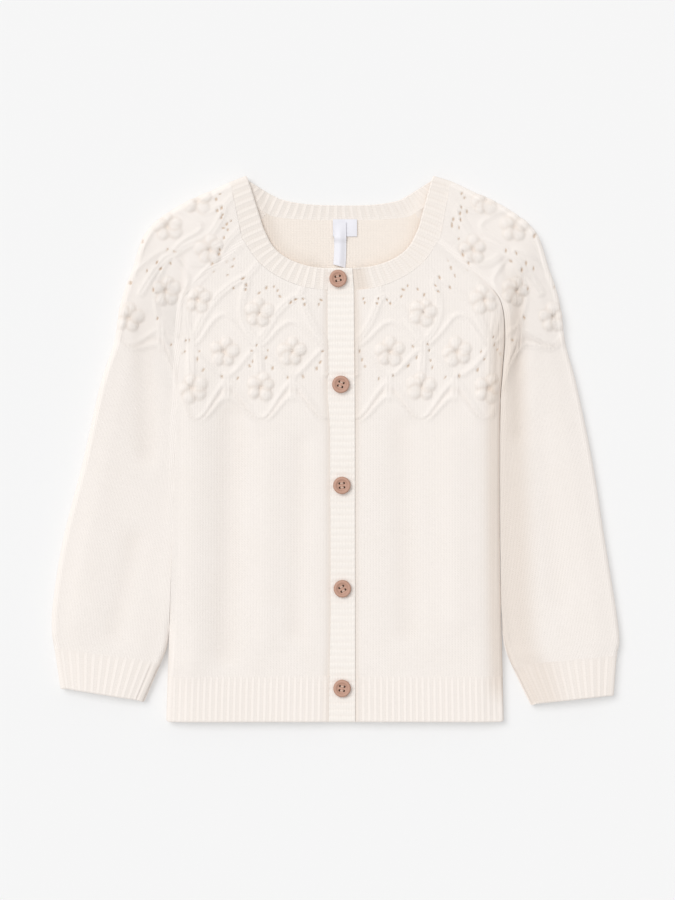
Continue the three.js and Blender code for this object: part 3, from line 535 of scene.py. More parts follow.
def knitted_wall(name, middle, facing, outer, lining, stitch, relief=None, lining_relief=None,
                 free_edge=None, wall=WALL, step=0.004):
    """A closed wall of cloth about a middle surface. outer and lining are the columns and
    levels of its two faces. stitch gives each point's place in the knitting, in mm. relief
    and lining_relief give its height, eyelet and painted shade. free_edge is the distance to
    the nearest edge that is rounded off."""
    limits = [(min(lining[k]), max(lining[k])) for k in (0, 1)]

    def face_points(columns, levels, sign, rise):
        across, level = np.meshgrid(columns, levels)
        (left, right), (first, last) = limits
        over = middle(np.minimum(across + step, right), level)
        down = middle(across, np.minimum(level + step, last))
        over = over - middle(np.maximum(across - step, left), level)
        down = down - middle(across, np.maximum(level - step, first))
        normal = np.cross(over, down)
        normal = facing * normal / np.linalg.norm(normal, axis=-1, keepdims=True)
        details = rise(across, level) if rise else np.zeros(across.shape + (3,))
        thick = np.full(across.shape, wall / 2)
        if free_edge:
            share = np.clip(free_edge(across, level) / (wall / 2), 0.002, 1)
            thick = thick * np.sqrt(1 - (1 - share) ** 2)
            details = details * smooth(share, 1)[..., None]
        away = sign * (thick + details[..., 0])
        points = middle(across, level) + normal * away[..., None]
        return points, details, stitch(across, level)

    top, top_details, top_stitch = face_points(*outer, 1, relief)
    low, low_details, low_stitch = face_points(*lining, -1, lining_relief)
    top_index = np.arange(top.shape[0] * top.shape[1]).reshape(top.shape[:2])
    low_index = np.arange(low.shape[0] * low.shape[1]).reshape(low.shape[:2]) + top_index.size
    faces = grid_faces(top_index, False) + grid_faces(low_index, True)
    faces += zip_faces(top_index[0], low_index[0], outer[0], lining[0], True)
    faces += zip_faces(top_index[-1], low_index[-1], outer[0], lining[0], False)
    faces += zip_faces(top_index[:, 0], low_index[:, 0], outer[1], lining[1], False)
    faces += zip_faces(top_index[:, -1], low_index[:, -1], outer[1], lining[1], True)
    points = np.concatenate([top.reshape(-1, 3), low.reshape(-1, 3)])
    first, second, third = (points[[face[k] for face in faces]] for k in range(3))
    if np.einsum("ij,ij->i", first, np.cross(second, third)).sum() < 0:
        faces = [face[::-1] for face in faces]
    points = (points - [0, MIDDLE_Y, 0]) * MILLIMETRE
    mesh = bpy.data.meshes.new(name)
    mesh.from_pydata(points.tolist(), [], faces)
    mesh.shade_smooth()

    rims = set()
    for index in (top_index, low_index):
        for line in (index[0], index[-1], index[:, 0], index[:, -1]):
            rims |= {(min(a, b), max(a, b)) for a, b in zip(line.tolist(), line.tolist()[1:])}
    for edge in mesh.edges:
        edge.use_edge_sharp = tuple(sorted(edge.vertices)) in rims
    details = np.concatenate([top_details.reshape(-1, 3), low_details.reshape(-1, 3)])
    # The eyelet mask and the painted shade mask are stored on the points for the material
    for k, label in ((1, "eyelet"), (2, "painted_shade")):
        layer = mesh.attributes.new(label, "FLOAT", "POINT")
        layer.data.foreach_set("value", np.ascontiguousarray(details[:, k], np.float32))
    knit = np.concatenate([top_stitch.reshape(-1, 2), low_stitch.reshape(-1, 2)])
    knit = np.concatenate([knit, np.zeros((len(knit), 1))], axis=1)
    layer = mesh.attributes.new("knit", "FLOAT_VECTOR", "POINT")
    layer.data.foreach_set("vector", knit.astype(np.float32).ravel())
    mesh.update()
    return placed(name, mesh)


def spaced(start, end, steps):
    return np.linspace(start, end, steps + 1)


def joined(*lists):
    """Rows one after the other, where each starts with the last value of the one before."""
    return np.concatenate([lists[0]] + [part[1:] for part in lists[1:]])


# The knit itself: a group for the stitches and a group for the yarn's loose fibres
def socket_group(name, inputs, outputs):
    group = bpy.data.node_groups.new(name, "ShaderNodeTree")
    for label, value in inputs.items():
        socket = group.interface.new_socket(label, in_out="INPUT", socket_type="NodeSocketFloat")
        socket.default_value = value
    for label in outputs:
        group.interface.new_socket(label, in_out="OUTPUT", socket_type="NodeSocketFloat")
    return group, group.nodes.new("NodeGroupInput"), group.nodes.new("NodeGroupOutput")


def set_sockets(node, values):
    """Sets a node's own sockets by their names."""
    for label, value in values.items():
        node.inputs[label].default_value = value


def value_of(tree, operation, *terms, clamp=False):
    """A Math node on sockets or plain numbers, and its result."""
    node = tree.nodes.new("ShaderNodeMath")
    node.operation = operation
    node.use_clamp = clamp
    for k, term in enumerate(terms):
        if isinstance(term, bpy.types.NodeSocket):
            tree.links.new(term, node.inputs[k])
        else:
            node.inputs[k].default_value = term
    return node.outputs[0]


def stitches_group():
    """Columns of V-shaped stitches: each leg is a slanting bead of yarn."""
    inputs = {"Across": 0, "Along": 0, "Stitch Width": 2, "Row Height": 1.6, "Slant": 0.8}
    group, given, made = socket_group("Knit stitches", inputs, ["Height", "Gap Shade"])
    place = value_of(group, "DIVIDE", given.outputs["Across"], given.outputs["Stitch Width"])
    from_middle = value_of(group, "SUBTRACT", value_of(group, "FRACT", place), 0.5)
    from_middle = value_of(group, "ABSOLUTE", from_middle)
    leg = value_of(group, "MULTIPLY", from_middle, 2)
    leg_side = value_of(group, "MULTIPLY_ADD", leg, 2, -1)
    leg_round = value_of(group, "SUBTRACT", 1, value_of(group, "MULTIPLY", leg_side, leg_side))
    row = value_of(group, "DIVIDE", given.outputs["Along"], given.outputs["Row Height"])
    slanted = value_of(group, "MULTIPLY_ADD", leg, given.outputs["Slant"], row)
    row_side = value_of(group, "MULTIPLY_ADD", value_of(group, "FRACT", slanted), 2, -1)
    row_round = value_of(group, "SUBTRACT", 1, value_of(group, "MULTIPLY", row_side, row_side))
    bead = value_of(group, "MULTIPLY_ADD", value_of(group, "POWER", row_round, 0.7), 0.65, 0.35)
    height = value_of(group, "MULTIPLY", value_of(group, "POWER", leg_round, 0.6), bead)
    group.links.new(height, made.inputs["Height"])
    # The gap between the legs is where the material paints shade between stitches
    gap_shade = value_of(group, "SUBTRACT", 1, height, clamp=True)
    group.links.new(value_of(group, "POWER", gap_shade, 2.5), made.inputs["Gap Shade"])
    return group


def fibres_group():
    """Loose fibres on the surface, and the slow change of tone in the yarn."""
    inputs = {"Fibre Scale": 2600, "Tone Scale": 45}
    group, given, made = socket_group("Yarn fibres", inputs, ["Height", "Tone"])
    place = group.nodes.new("ShaderNodeTexCoord")
    for scale, output, detail in (("Fibre Scale", "Height", 4), ("Tone Scale", "Tone", 3)):
        noise = group.nodes.new("ShaderNodeTexNoise")
        set_sockets(noise, {"Detail": detail, "Roughness": 0.65})
        group.links.new(place.outputs["Object"], noise.inputs["Vector"])
        group.links.new(given.outputs[scale], noise.inputs["Scale"])
        group.links.new(noise.outputs["Fac"], made.inputs[output])
    return group


stitches = stitches_group()
loose_fibres = fibres_group()
CREAM = (0.985, 0.922, 0.873)
# A deeper cream: the yarn's own change of tone, and painted shade between stitches
CREAM_TONE_AND_SHADE = (0.92, 0.85, 0.78)
# Tan laid on as painted shade in folds, hollows and beside seams and edges
SHADE_TAN = (0.72, 0.60, 0.50)
# Brown laid in the eyelets as painted shade, for the shadow seen down the holes
EYELET_SHADE = (0.62, 0.45, 0.31)
FUZZ_DEPTH = 0.1


def mixed(tree, share, first, second):
    """A Mix node on colours and a share, which may be sockets, and its result."""
    node = tree.nodes.new("ShaderNodeMix")
    node.data_type = "RGBA"
    for value, place in ((share, 0), (first, 6), (second, 7)):
        if isinstance(value, bpy.types.NodeSocket):
            tree.links.new(value, node.inputs[place])
        else:
            node.inputs[place].default_value = value if place == 0 else (*value, 1)
    return node.outputs[2]


def new_material(name):
    """A material, its node tree and its shader."""
    material = bpy.data.materials.new(name)
    material.use_nodes = True
    return material, material.node_tree, material.node_tree.nodes["Principled BSDF"]


def stored(tree, label):
    """The node that reads a value stored on the mesh's points."""
    node = tree.nodes.new("ShaderNodeAttribute")
    node.attribute_name = label
    return node


def raised(tree, height, depth, under=None, strength=1):
    """The normal of a relief, laid over another normal if one is given."""
    bump = tree.nodes.new("ShaderNodeBump")
    set_sockets(bump, {"Distance": depth * MILLIMETRE, "Strength": strength})
    tree.links.new(height, bump.inputs["Height"])
    if under is not None:
        tree.links.new(under, bump.inputs["Normal"])
    return bump.outputs["Normal"]


def knit_material(name, stitch_width, row_height, stitch_depth, slant=0.8, colour=CREAM):
    """Matt yarn in stitches, with painted shade between them, in the folds, hollows and beside seams and
    edges, and in the eyelets.
    """
    material, tree, surface = new_material(name)
    split = tree.nodes.new("ShaderNodeSeparateXYZ")
    tree.links.new(stored(tree, "knit").outputs["Vector"], split.inputs[0])
    knit = tree.nodes.new("ShaderNodeGroup")
    knit.node_tree = stitches
    tree.links.new(split.outputs["X"], knit.inputs["Across"])
    tree.links.new(split.outputs["Y"], knit.inputs["Along"])
    set_sockets(knit, {"Stitch Width": stitch_width, "Row Height": row_height, "Slant": slant})
    fibres = tree.nodes.new("ShaderNodeGroup")
    fibres.node_tree = loose_fibres
    tone = value_of(tree, "MULTIPLY_ADD", fibres.outputs["Tone"], 0.4, -0.1, clamp=True)
    # Painted shade in the gaps between stitches, added to the yarn's own slow change of tone
    tone_and_gap_shade = value_of(tree, "MULTIPLY_ADD", knit.outputs["Gap Shade"], 0.25, tone, clamp=True)
    yarn = mixed(tree, tone_and_gap_shade, colour, CREAM_TONE_AND_SHADE)
    # Painted shade: tan laid on by the stored mask, in folds, hollows of the pattern and beside seams and
    # edges
    sunk = mixed(tree, stored(tree, "painted_shade").outputs["Fac"], yarn, SHADE_TAN)
    # Painted shade in the eyelets
    pierced = value_of(tree, "MULTIPLY", stored(tree, "eyelet").outputs["Fac"], 0.85)
    tree.links.new(mixed(tree, pierced, sunk, EYELET_SHADE), surface.inputs["Base Color"])
    loops = raised(tree, knit.outputs["Height"], stitch_depth)
    fuzz = raised(tree, fibres.outputs["Height"], FUZZ_DEPTH, under=loops, strength=0.7)
    tree.links.new(fuzz, surface.inputs["Normal"])
    set_sockets(surface, {
        "Roughness": 0.92,
        "Specular IOR Level": 0.2,
        "Sheen Weight": 0.12,
        "Sheen Roughness": 0.6,
        "Sheen Tint": (1, 0.98, 0.95, 1),
    })
    return material


STITCH_WIDTH = 2.0
ROW_HEIGHT = 1.6
STITCH_DEPTH = 0.2
stocking_stitch = knit_material("stocking stitch", STITCH_WIDTH, ROW_HEIGHT, STITCH_DEPTH)


def dressed(piece, material, *nodes):
    """Gives a knitted piece its material, its body and the solids that it stands for."""
    piece.data.materials.append(material)
    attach(piece, "root")
    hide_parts(*nodes)
    return piece


FRONT_WIDTH = 104
EDGE_SINK = {"left": 0.6, "right": 0.35}
EDGE_SINK_WIDTH = {"left": 3.2, "right": 2.4}
EDGE_SHADE = {"left": 0.27, "right": 0.3}
FOLD_SHADE = 0.07
NEAR_NECK_FROM = -60
NEAR_NECK_SPAN = 150
NEAR_NECK_LEAST = 0.12
NEAR_NECK_SHADE = 0.15
SIDE_SHADE = 0.5
SIDE_SHADE_WIDTH = 6.5
SIDE_SHADE_START = 3.5


def fold_shade(spot):
    """Painted shade in the folds, which starts a little below the cloth's own level."""
    return FOLD_SHADE * np.clip(fold_depth(spot[..., 0], spot[..., 1]) - 0.2, 0, 1)


for side in SIDES:
    def front_relief(across, level):
        details = yoke_relief(side, front_point(side, np.minimum(across, 1.98), level))
        kept = (1 - smooth(across - 1, 0.9)) * (1 - smooth(level - YOKE_END, YOKE_FADE))
        details = details * kept[..., None]
        spot = front_point(side, across, level)
        details[..., 2] += fold_shade(spot) * (1 - smooth(across - 0.9, 0.4))
        near_neck = 0
        if side == "right":
            near_neck = np.clip((spot[..., 1] - NEAR_NECK_FROM) / NEAR_NECK_SPAN, NEAR_NECK_LEAST, 1)
        sink_width = EDGE_SINK_WIDTH[side] * (1 + near_neck)
        beside_band = np.exp(-((across * FRONT_WIDTH / sink_width) ** 2))
        details[..., 0] -= EDGE_SINK[side] * (1 + near_neck) * beside_band
        # Painted shade beside the front band, stronger towards the neck on the right
        details[..., 2] += (EDGE_SHADE[side] + NEAR_NECK_SHADE * near_neck) * beside_band
        # Painted shade along the right front's side, where its edge rolls down beside the sleeve
        if side == "right":
            to_seam = (1 - np.minimum(across, 1)) * FRONT_WIDTH * smooth(level, 7)
            to_seam = to_seam + np.maximum(across - 1, 0)
            beside_seam = np.exp(-((to_seam / SIDE_SHADE_WIDTH) ** 2))
            details[..., 2] += SIDE_SHADE * beside_seam * smooth(level - SIDE_SHADE_START, 2)
        return details

    def front_stitch(across, level):
        spot = front_point(side, across, level)
        rolled = BEND_LENGTH * 0.4 * np.maximum(across - 1, 0)
        return np.stack([np.abs(spot[..., 0]) + rolled, -spot[..., 1]], -1)

    front_piece = dressed(
        knitted_wall(
            f"front_{side}_knit", partial(front_point, side), FACING[side],
            outer=(joined(spaced(0, 1, 120), spaced(1, 2, 8)),
                   joined(spaced(NECK_JOIN, YOKE_END, 112), spaced(YOKE_END, HEM_JOIN, 130))),
            lining=(joined(spaced(0, 1, 24), spaced(1, 2, 4)), spaced(NECK_JOIN, HEM_JOIN, 70)),
            stitch=front_stitch, relief=front_relief,
        ),
        stocking_stitch, f"front_{side}",
    )


# The back: one panel in the same stocking stitch, flat on the surface it lies on, right
# side down. Its purl side shows in the neck opening, where it rises towards the front's
# neckline that lies on it.
NECK_LIFT = 2.1
NECK_LIFT_WIDTH = 5.5
NECK_LIFT_SHADE = 0.34
NECK_SHADE_SPREAD = 0.55
LIFT_FROM_SHOULDER = 1
LIFT_SHOULDER_SPAN = 7
LIFT_FROM_BANDS = 12
LIFT_BANDS_SPAN = 14


def neckline(side):
    """Points along the front's neckline, from the band over the seam to the shoulder."""
    front = front_point(side, np.linspace(0, 1.9, 60), np.zeros(60))[:, :2]
    shoulder = np.array([YOKE[side]["fold_x"][0], YOKE[side]["fold_y"][0]])
    rest = front[-1] + (shoulder - front[-1]) * np.linspace(0.02, 1, 40)[:, None]
    return np.concatenate([front, rest])


necklines = [neckline(side) for side in SIDES]


def lifted(x, y):
    """Share of the lift under the front's neckline, none at the shoulder and the bands."""
    share = np.zeros(x.shape)
    for line in necklines:
        away = np.sqrt(np.min((x[..., None] - line[:, 0]) ** 2 + (y[..., None] - line[:, 1]) ** 2, -1))
        from_shoulder = np.hypot(x - line[-1, 0], y - line[-1, 1])
        kept = smooth(from_shoulder - LIFT_FROM_SHOULDER, LIFT_SHOULDER_SPAN)
        kept = kept * smooth(np.abs(x - MIDDLE_X) - LIFT_FROM_BANDS, LIFT_BANDS_SPAN)
        share = np.maximum(share, kept * np.exp(-((away / NECK_LIFT_WIDTH) ** 2)))
    return share


def neck_shade(spot):
    """Painted shade where the inside of the neck rises under the front's neckline."""
    return NECK_LIFT_SHADE * lifted(spot[..., 0], spot[..., 1]) ** NECK_SHADE_SPREAD


def only_shade(tint):
    """Details of a level face that carries nothing but painted shade."""
    return np.stack([np.zeros(tint.shape), np.zeros(tint.shape), tint], -1)


def back_point(across, level):
    """Across runs 0 to 1 over the turn at the left, to 2 to the right, to 3 over its turn."""
    starts, outs, bends = {}, {}, {}
    for side in SIDES:
        rows = body_rows[side]
        bends[side] = np.radians(np.clip(column(rows, "under_bend", level), 0, 90))
        here, outs[side] = edge_at(rows, "under", side, level)
        inward = HALF * np.sin(bends[side]) + turn(bends[side], 1)[0]
        starts[side] = here - outs[side] * inward[..., None]
    t = np.clip(across - 1, 0, 1)
    sag = column(body_rows["right"], "sag", level) * (1 - np.abs(2 * t - 1) ** 3)
    flat = starts["left"] + (starts["right"] - starts["left"]) * t[..., None]
    flat = np.stack([flat[..., 0], flat[..., 1] - sag, np.full(t.shape, FLOOR_LAYER)], -1)
    turned = {}
    for side, part in (("left", 1 - across), ("right", across - 2)):
        reach, drop = turn(bends[side], np.maximum(part, 0))
        spot = starts[side] + outs[side] * reach[..., None]
        turned[side] = np.concatenate([spot, (FLOOR_LAYER + drop)[..., None]], -1)
    at_left, at_right = (across < 1)[..., None], (across > 2)[..., None]
    result = np.where(at_left, turned["left"], np.where(at_right, turned["right"], flat))
    result[..., 2] += NECK_LIFT * lifted(result[..., 0], result[..., 1])
    return result


def back_relief(across, level):
    return only_shade(neck_shade(back_point(across, level)))


BACK_WIDTH = 214
# The purl side's cream is darker and pinker than the yarn's: painted shade for the inside of the neck
# opening
PURL_SHADED_CREAM = (0.97, 0.88, 0.80)
purl_side = knit_material(
    "purl side", STITCH_WIDTH, ROW_HEIGHT, STITCH_DEPTH, slant=0.15, colour=PURL_SHADED_CREAM)


def back_stitch(across, level):
    spot = back_point(across, level)
    return np.stack([spot[..., 0], -spot[..., 1]], -1)


back_columns = joined(spaced(0, 1, 6), spaced(1, 2, 120), spaced(2, 3, 6))
back_levels = spaced(NECK_JOIN, HEM_JOIN, 130)
back_piece = dressed(
    knitted_wall("back_knit", back_point, 1, (back_columns, back_levels), (back_columns, back_levels),
                 back_stitch, lining_relief=back_relief),
    purl_side, "back",
)


# The sleeves: the same yarn in stocking stitch, each one wall from the front seam round the
# outer fold to the under seam. They are sewn to the body along both, and carry the yoke's
# pattern over the shoulder.
CUFF_JOIN = 13
CUFF_END = 14
ARM = {
    "right": {
        "seam_x": [108.2, 108.2, 108.5, 109.2, 110.4, 116.2, 128.7],
        "seam_y": [6.6, -33.0, -72.6, -105.6, -126.7, -143.2, -169.3],
        "fold_x": [159.1, 169.6, 177.5, 184.8, 187.4, 185.8, 183.7],
        "fold_y": [42.9, -7.9, -58.1, -103.0, -125.4, -136.0, -162.7],
    },
    "left": {
        "seam_x": [-105.65, -106.9, -108.15, -109.35, -110.6, -115.5, -126.7],
        "seam_y": [6.6, -33.0, -72.6, -105.6, -126.7, -141.2, -167.0],
        "fold_x": [-155.8, -167.0, -180.4, -187.0, -187.8, -186.2, -182.2],
        "fold_y": [42.9, -6.6, -59.4, -100.5, -120.0, -131.2, -158.2],
    },
}
arm_rows = {
    side: softened("level", joined_rows(side, below_armpit(**ARM[side]))) for side in SIDES
}


def sleeve_point(side, across, level):
    """Across runs 0 to 1 over the turn at the front seam, to 2 over the upper layer, to 3
    round the outer fold, to 4 back under, and to 5 over the turn at the under seam."""
    rows = arm_rows[side]
    bend = np.radians(np.clip(column(rows, "bend", level), 0, 90))
    seam, seam_out = edge_at(rows, "seam", side, level)
    clear = (SEAM_GAP + HALF) * np.sin(bend)
    seam_height = seam_top(level, bend)
    whole = turn(bend, 1)[0]
    upper_start = seam + seam_out * (clear + whole)[..., None]
    reach, drop = turn(bend, np.clip(1 - across, 0, 1))
    seam_turn = upper_start - seam_out * reach[..., None]
    seam_turn = np.concatenate([seam_turn, (seam_height - drop)[..., None]], -1)

    fold, fold_out = edge_at(rows, "fold", side, level)
    fold_start = fold - fold_out * (FOLD_RADIUS + HALF)
    t = np.clip(across - 1, 0, 1)
    width = np.linalg.norm(fold_start - upper_start, axis=-1)
    spot = upper_start + (fold_start - upper_start) * t[..., None]
    z = upper_height(spot[..., 0], spot[..., 1], level, t * width, seam_height, (1 - t) * width, FOLD_TOP)
    upper = np.concatenate([spot, z[..., None]], -1)

    angle = math.pi * np.clip(across - 2, 0, 1)
    round_fold = fold_start + fold_out * (FOLD_RADIUS * np.sin(angle))[..., None]
    fold_z = FLOOR_LAYER + FOLD_RADIUS * (1 + np.cos(angle))
    round_fold = np.concatenate([round_fold, fold_z[..., None]], -1)

    under_bend = np.radians(np.clip(column(rows, "under_bend", level), 0, 90))
    under, under_out = edge_at(rows, "under", side, level)
    under_clear = (SEAM_GAP + HALF) * np.sin(under_bend) + turn(under_bend, 1)[0]
    under_start = under + under_out * under_clear[..., None]
    t = np.clip(across - 3, 0, 1)
    spot = fold_start + (under_start - fold_start) * t[..., None]
    lower = np.concatenate([spot, np.full(t.shape, FLOOR_LAYER)[..., None]], -1)
    reach, drop = turn(under_bend, np.clip(across - 4, 0, 1))
    under_turn = under_start - under_out * reach[..., None]
    under_turn = np.concatenate([under_turn, (FLOOR_LAYER + drop)[..., None]], -1)
    for stretch in (lower, under_turn):
        stretch[..., 2] += NECK_LIFT * lifted(stretch[..., 0], stretch[..., 1])

    at_seam = 1 - (1 - np.clip(across, 0, 1)) * np.clip(bend, 0, 1)
    for stretch, kept in ((seam_turn, at_seam), (upper, 1), (round_fold, (1 + np.cos(angle)) / 2)):
        stretch[..., 2] += swell(stretch[..., 0], stretch[..., 1]) * kept
    stretches = (seam_turn, upper, round_fold, lower, under_turn)
    result = stretches[-1]
    for k in (3, 2, 1, 0):
        result = np.where((across <= k + 1)[..., None], stretches[k], result)
    return result


SLEEVE_WIDTH = 62
SHADE_WIDTH = 8
SHADE_FADE = 17
BESIDE_SINK = 0.9
BESIDE_SHADE = 0.4
SLEEVE_STEPS = 60
FOLD_LENGTH = FOLD_RADIUS * math.pi
SLEEVE_STOPS = np.cumsum([0, BEND_LENGTH, SLEEVE_WIDTH, FOLD_LENGTH, SLEEVE_WIDTH, BEND_LENGTH])


def stretched(*steps):
    """Columns over stretches of length 1, with a number of steps for each."""
    return joined(*(spaced(k, k + 1, count) for k, count in enumerate(steps)))


for side in SIDES:
    sleeve_levels = spaced(NECK_JOIN, CUFF_JOIN, SLEEVE_STEPS)
    at_seam, at_middle, at_fold = (
        sleeve_point(side, np.full(SLEEVE_STEPS + 1, across), sleeve_levels) for across in (1.0, 1.5, 2.0)
    )
    sleeve_widths = np.linalg.norm(at_fold - at_seam, axis=-1)
    sleeve_steps = np.linalg.norm(np.diff(at_middle, axis=0), axis=-1)
    sleeve_run = np.concatenate([[0], np.cumsum(sleeve_steps)])

    def sleeve_relief(across, level):
        details = yoke_relief(side, sleeve_point(side, np.minimum(across, 2.5), level))
        kept = smooth(across, 0.6) * (1 - smooth(across - 2.1, 0.5))
        kept = kept * (1 - smooth(level - YOKE_END, YOKE_FADE))
        details = details * kept[..., None]
        upper = 1 - smooth(across - 2, 0.4)
        details[..., 2] += fold_shade(sleeve_point(side, across, level)) * upper
        # On the right the sleeve sinks a little beside its seam and carries painted shade there, where
        # the body stands higher
        if side == "right":
            from_seam = np.clip(across - 1, 0, 1) * np.interp(level, sleeve_levels, sleeve_widths)
            beside = 1 - smooth(from_seam - SHADE_WIDTH, SHADE_FADE)
            beside = beside * smooth(level - SIDE_SHADE_START, 1.5) * upper
            details[..., 0] -= BESIDE_SINK * beside * (1 - smooth(level - CUFF_JOIN + 1, 1))
            details[..., 2] += BESIDE_SHADE * beside
        return details

    def sleeve_inside(across, level):
        return only_shade((across > 3) * neck_shade(sleeve_point(side, across, level)))

    def sleeve_stitch(across, level):
        u = np.interp(across, np.arange(6), SLEEVE_STOPS) / SLEEVE_WIDTH - 0.5
        u = u * np.interp(level, sleeve_levels, sleeve_widths)
        return np.stack([u, np.interp(level, sleeve_levels, sleeve_run)], -1)

    sleeve_piece = dressed(
        knitted_wall(
            f"sleeve_{side}_knit", partial(sleeve_point, side), FACING[side],
            outer=(stretched(6, 64, 12, 24, 5),
                   joined(spaced(NECK_JOIN, YOKE_END, 130), spaced(YOKE_END, CUFF_JOIN, 140))),
            lining=(stretched(3, 16, 6, 12, 3), spaced(NECK_JOIN, CUFF_JOIN, 70)),
            stitch=sleeve_stitch, relief=sleeve_relief, lining_relief=sleeve_inside,
        ),
        stocking_stitch, f"sleeve_{side}",
    )


# The hem: a deep rib of the same yarn in three stretches. Each is knitted straight on below
# its panel, without a seam, and ends in a soft rounded edge.
HEM_RIB_PITCH = 4.0
RIB_ROW = 1.7
RIB_STITCH_DEPTH = 0.18
# A slightly darker copy of the yarn's cream: painted shade for the ribbed hem and cuffs
RIB_SHADED_CREAM = (0.95, 0.885, 0.835)
RIB_DEPTH = 0.34
RIB_ROUNDNESS = 1.8
RIB_GROOVE_SHADE = 0.07
JOIN_FADE = 2.5
HEM_DEPTH = 30.3
HEM_TURN = 11.93
rib_stitch = knit_material(
    "rib", HEM_RIB_PITCH, RIB_ROW, RIB_STITCH_DEPTH, slant=0.6, colour=RIB_SHADED_CREAM)


def rib_height(phase):
    """Rounded ribs with narrow grooves: the top of a rib is at the middle of a phase."""
    side = np.abs(2 * (phase - np.floor(phase)) - 1)
    return -RIB_DEPTH * side**RIB_ROUNDNESS


def ribbed(height):
    """Details of a rib: its height, and painted shade that deepens in its grooves."""
    return np.stack([height, np.zeros(height.shape), RIB_GROOVE_SHADE * (height / RIB_DEPTH) ** 2], -1)


def hem_edge(across, level):
    return (HEM_END - level) * HEM_DEPTH


for side in SIDES:
    hem_width = abs(BODY_SIDE[side][-1] - FRONT_EDGE[side]["x"][-1]) - FOLD_RADIUS - HALF
    ribs = round(hem_width / HEM_RIB_PITCH)

    def hem_reach(across):
        return np.where(across > 1, 1 + (across - 1) * BEND_LENGTH / hem_width, across)

    def hem_relief(across, level):
        faded = smooth((level - HEM_JOIN) * HEM_DEPTH, JOIN_FADE)
        details = ribbed(rib_height(hem_reach(across) * ribs) * faded)
        beside_band = np.exp(-((across * hem_width / EDGE_SINK_WIDTH[side]) ** 2))
        # Painted shade beside the front band
        details[..., 2] += EDGE_SHADE[side] * beside_band
        # Painted shade along the right hem's side
        if side == "right":
            to_seam = (1 - np.minimum(across, 1)) * hem_width
            beside_seam = np.exp(-((to_seam / SIDE_SHADE_WIDTH) ** 2))
            details[..., 2] += SIDE_SHADE * beside_seam * (1 - smooth(level - HEM_JOIN, 0.7))
        return details

    def hem_stitch(across, level):
        return np.stack([hem_reach(across) * ribs * HEM_RIB_PITCH, (level - HEM_JOIN) * HEM_DEPTH], -1)

    front_hem = dressed(
        knitted_wall(
            f"hem_rib_front_{side}_knit", partial(front_point, side), FACING[side],
            outer=(stretched(ribs * 10, 12),
                   joined(spaced(HEM_JOIN, HEM_TURN, 14), spaced(HEM_TURN, HEM_END, 6))),
            lining=(stretched(40, 6),
                    joined(spaced(HEM_JOIN, HEM_TURN, 4), spaced(HEM_TURN, HEM_END, 6))),
            stitch=hem_stitch, relief=hem_relief, free_edge=hem_edge,
        ),
        rib_stitch, f"hem_rib_front_{side}",
    )

back_ribs = round(BACK_WIDTH / HEM_RIB_PITCH)


def back_reach(across):
    """Way across the back's hem, with its turned sides, as a share of its width."""
    turned = BEND_LENGTH / BACK_WIDTH
    return np.interp(across, [0, 1, 2, 3], [-turned, 0, 1, 1 + turned])


def back_hem_relief(across, level):
    return ribbed(rib_height(back_reach(across) * back_ribs))


def back_hem_stitch(across, level):
    u = back_reach(across) * back_ribs * HEM_RIB_PITCH
    return np.stack([u, (level - HEM_JOIN) * HEM_DEPTH], -1)


back_hem_columns = stretched(6, back_ribs * 6, 6)
back_hem_levels = joined(spaced(HEM_JOIN, HEM_TURN, 6), spaced(HEM_TURN, HEM_END, 5))
back_hem = dressed(
    knitted_wall(
        "hem_rib_back_knit", back_point, 1,
        outer=(back_hem_columns, back_hem_levels), lining=(back_hem_columns, back_hem_levels),
        stitch=back_hem_stitch, lining_relief=back_hem_relief, free_edge=hem_edge,
    ),
    rib_stitch, "hem_rib_back",
)


# The cuffs: ribbed tubes of the same yarn, knitted on to the sleeves' ends and pressed flat
# as the sleeves are. Beside the seam a narrow strip of the under layer shows, lower than
# the ribs and plain.
CUFF_DEPTH = 28
CUFF_TURN = 13.93
UNDER_STRIP = 5.0
UNDER_STRIP_FADE = 1.2
UNDER_SINK = 0.8
UNDER_STRIP_SHADE = 0.06
CUFF_SHADE = 0.05
CUFF_SEAM_SHADE = 0.3


def cuff_edge(across, level):
    return (CUFF_END - level) * CUFF_DEPTH


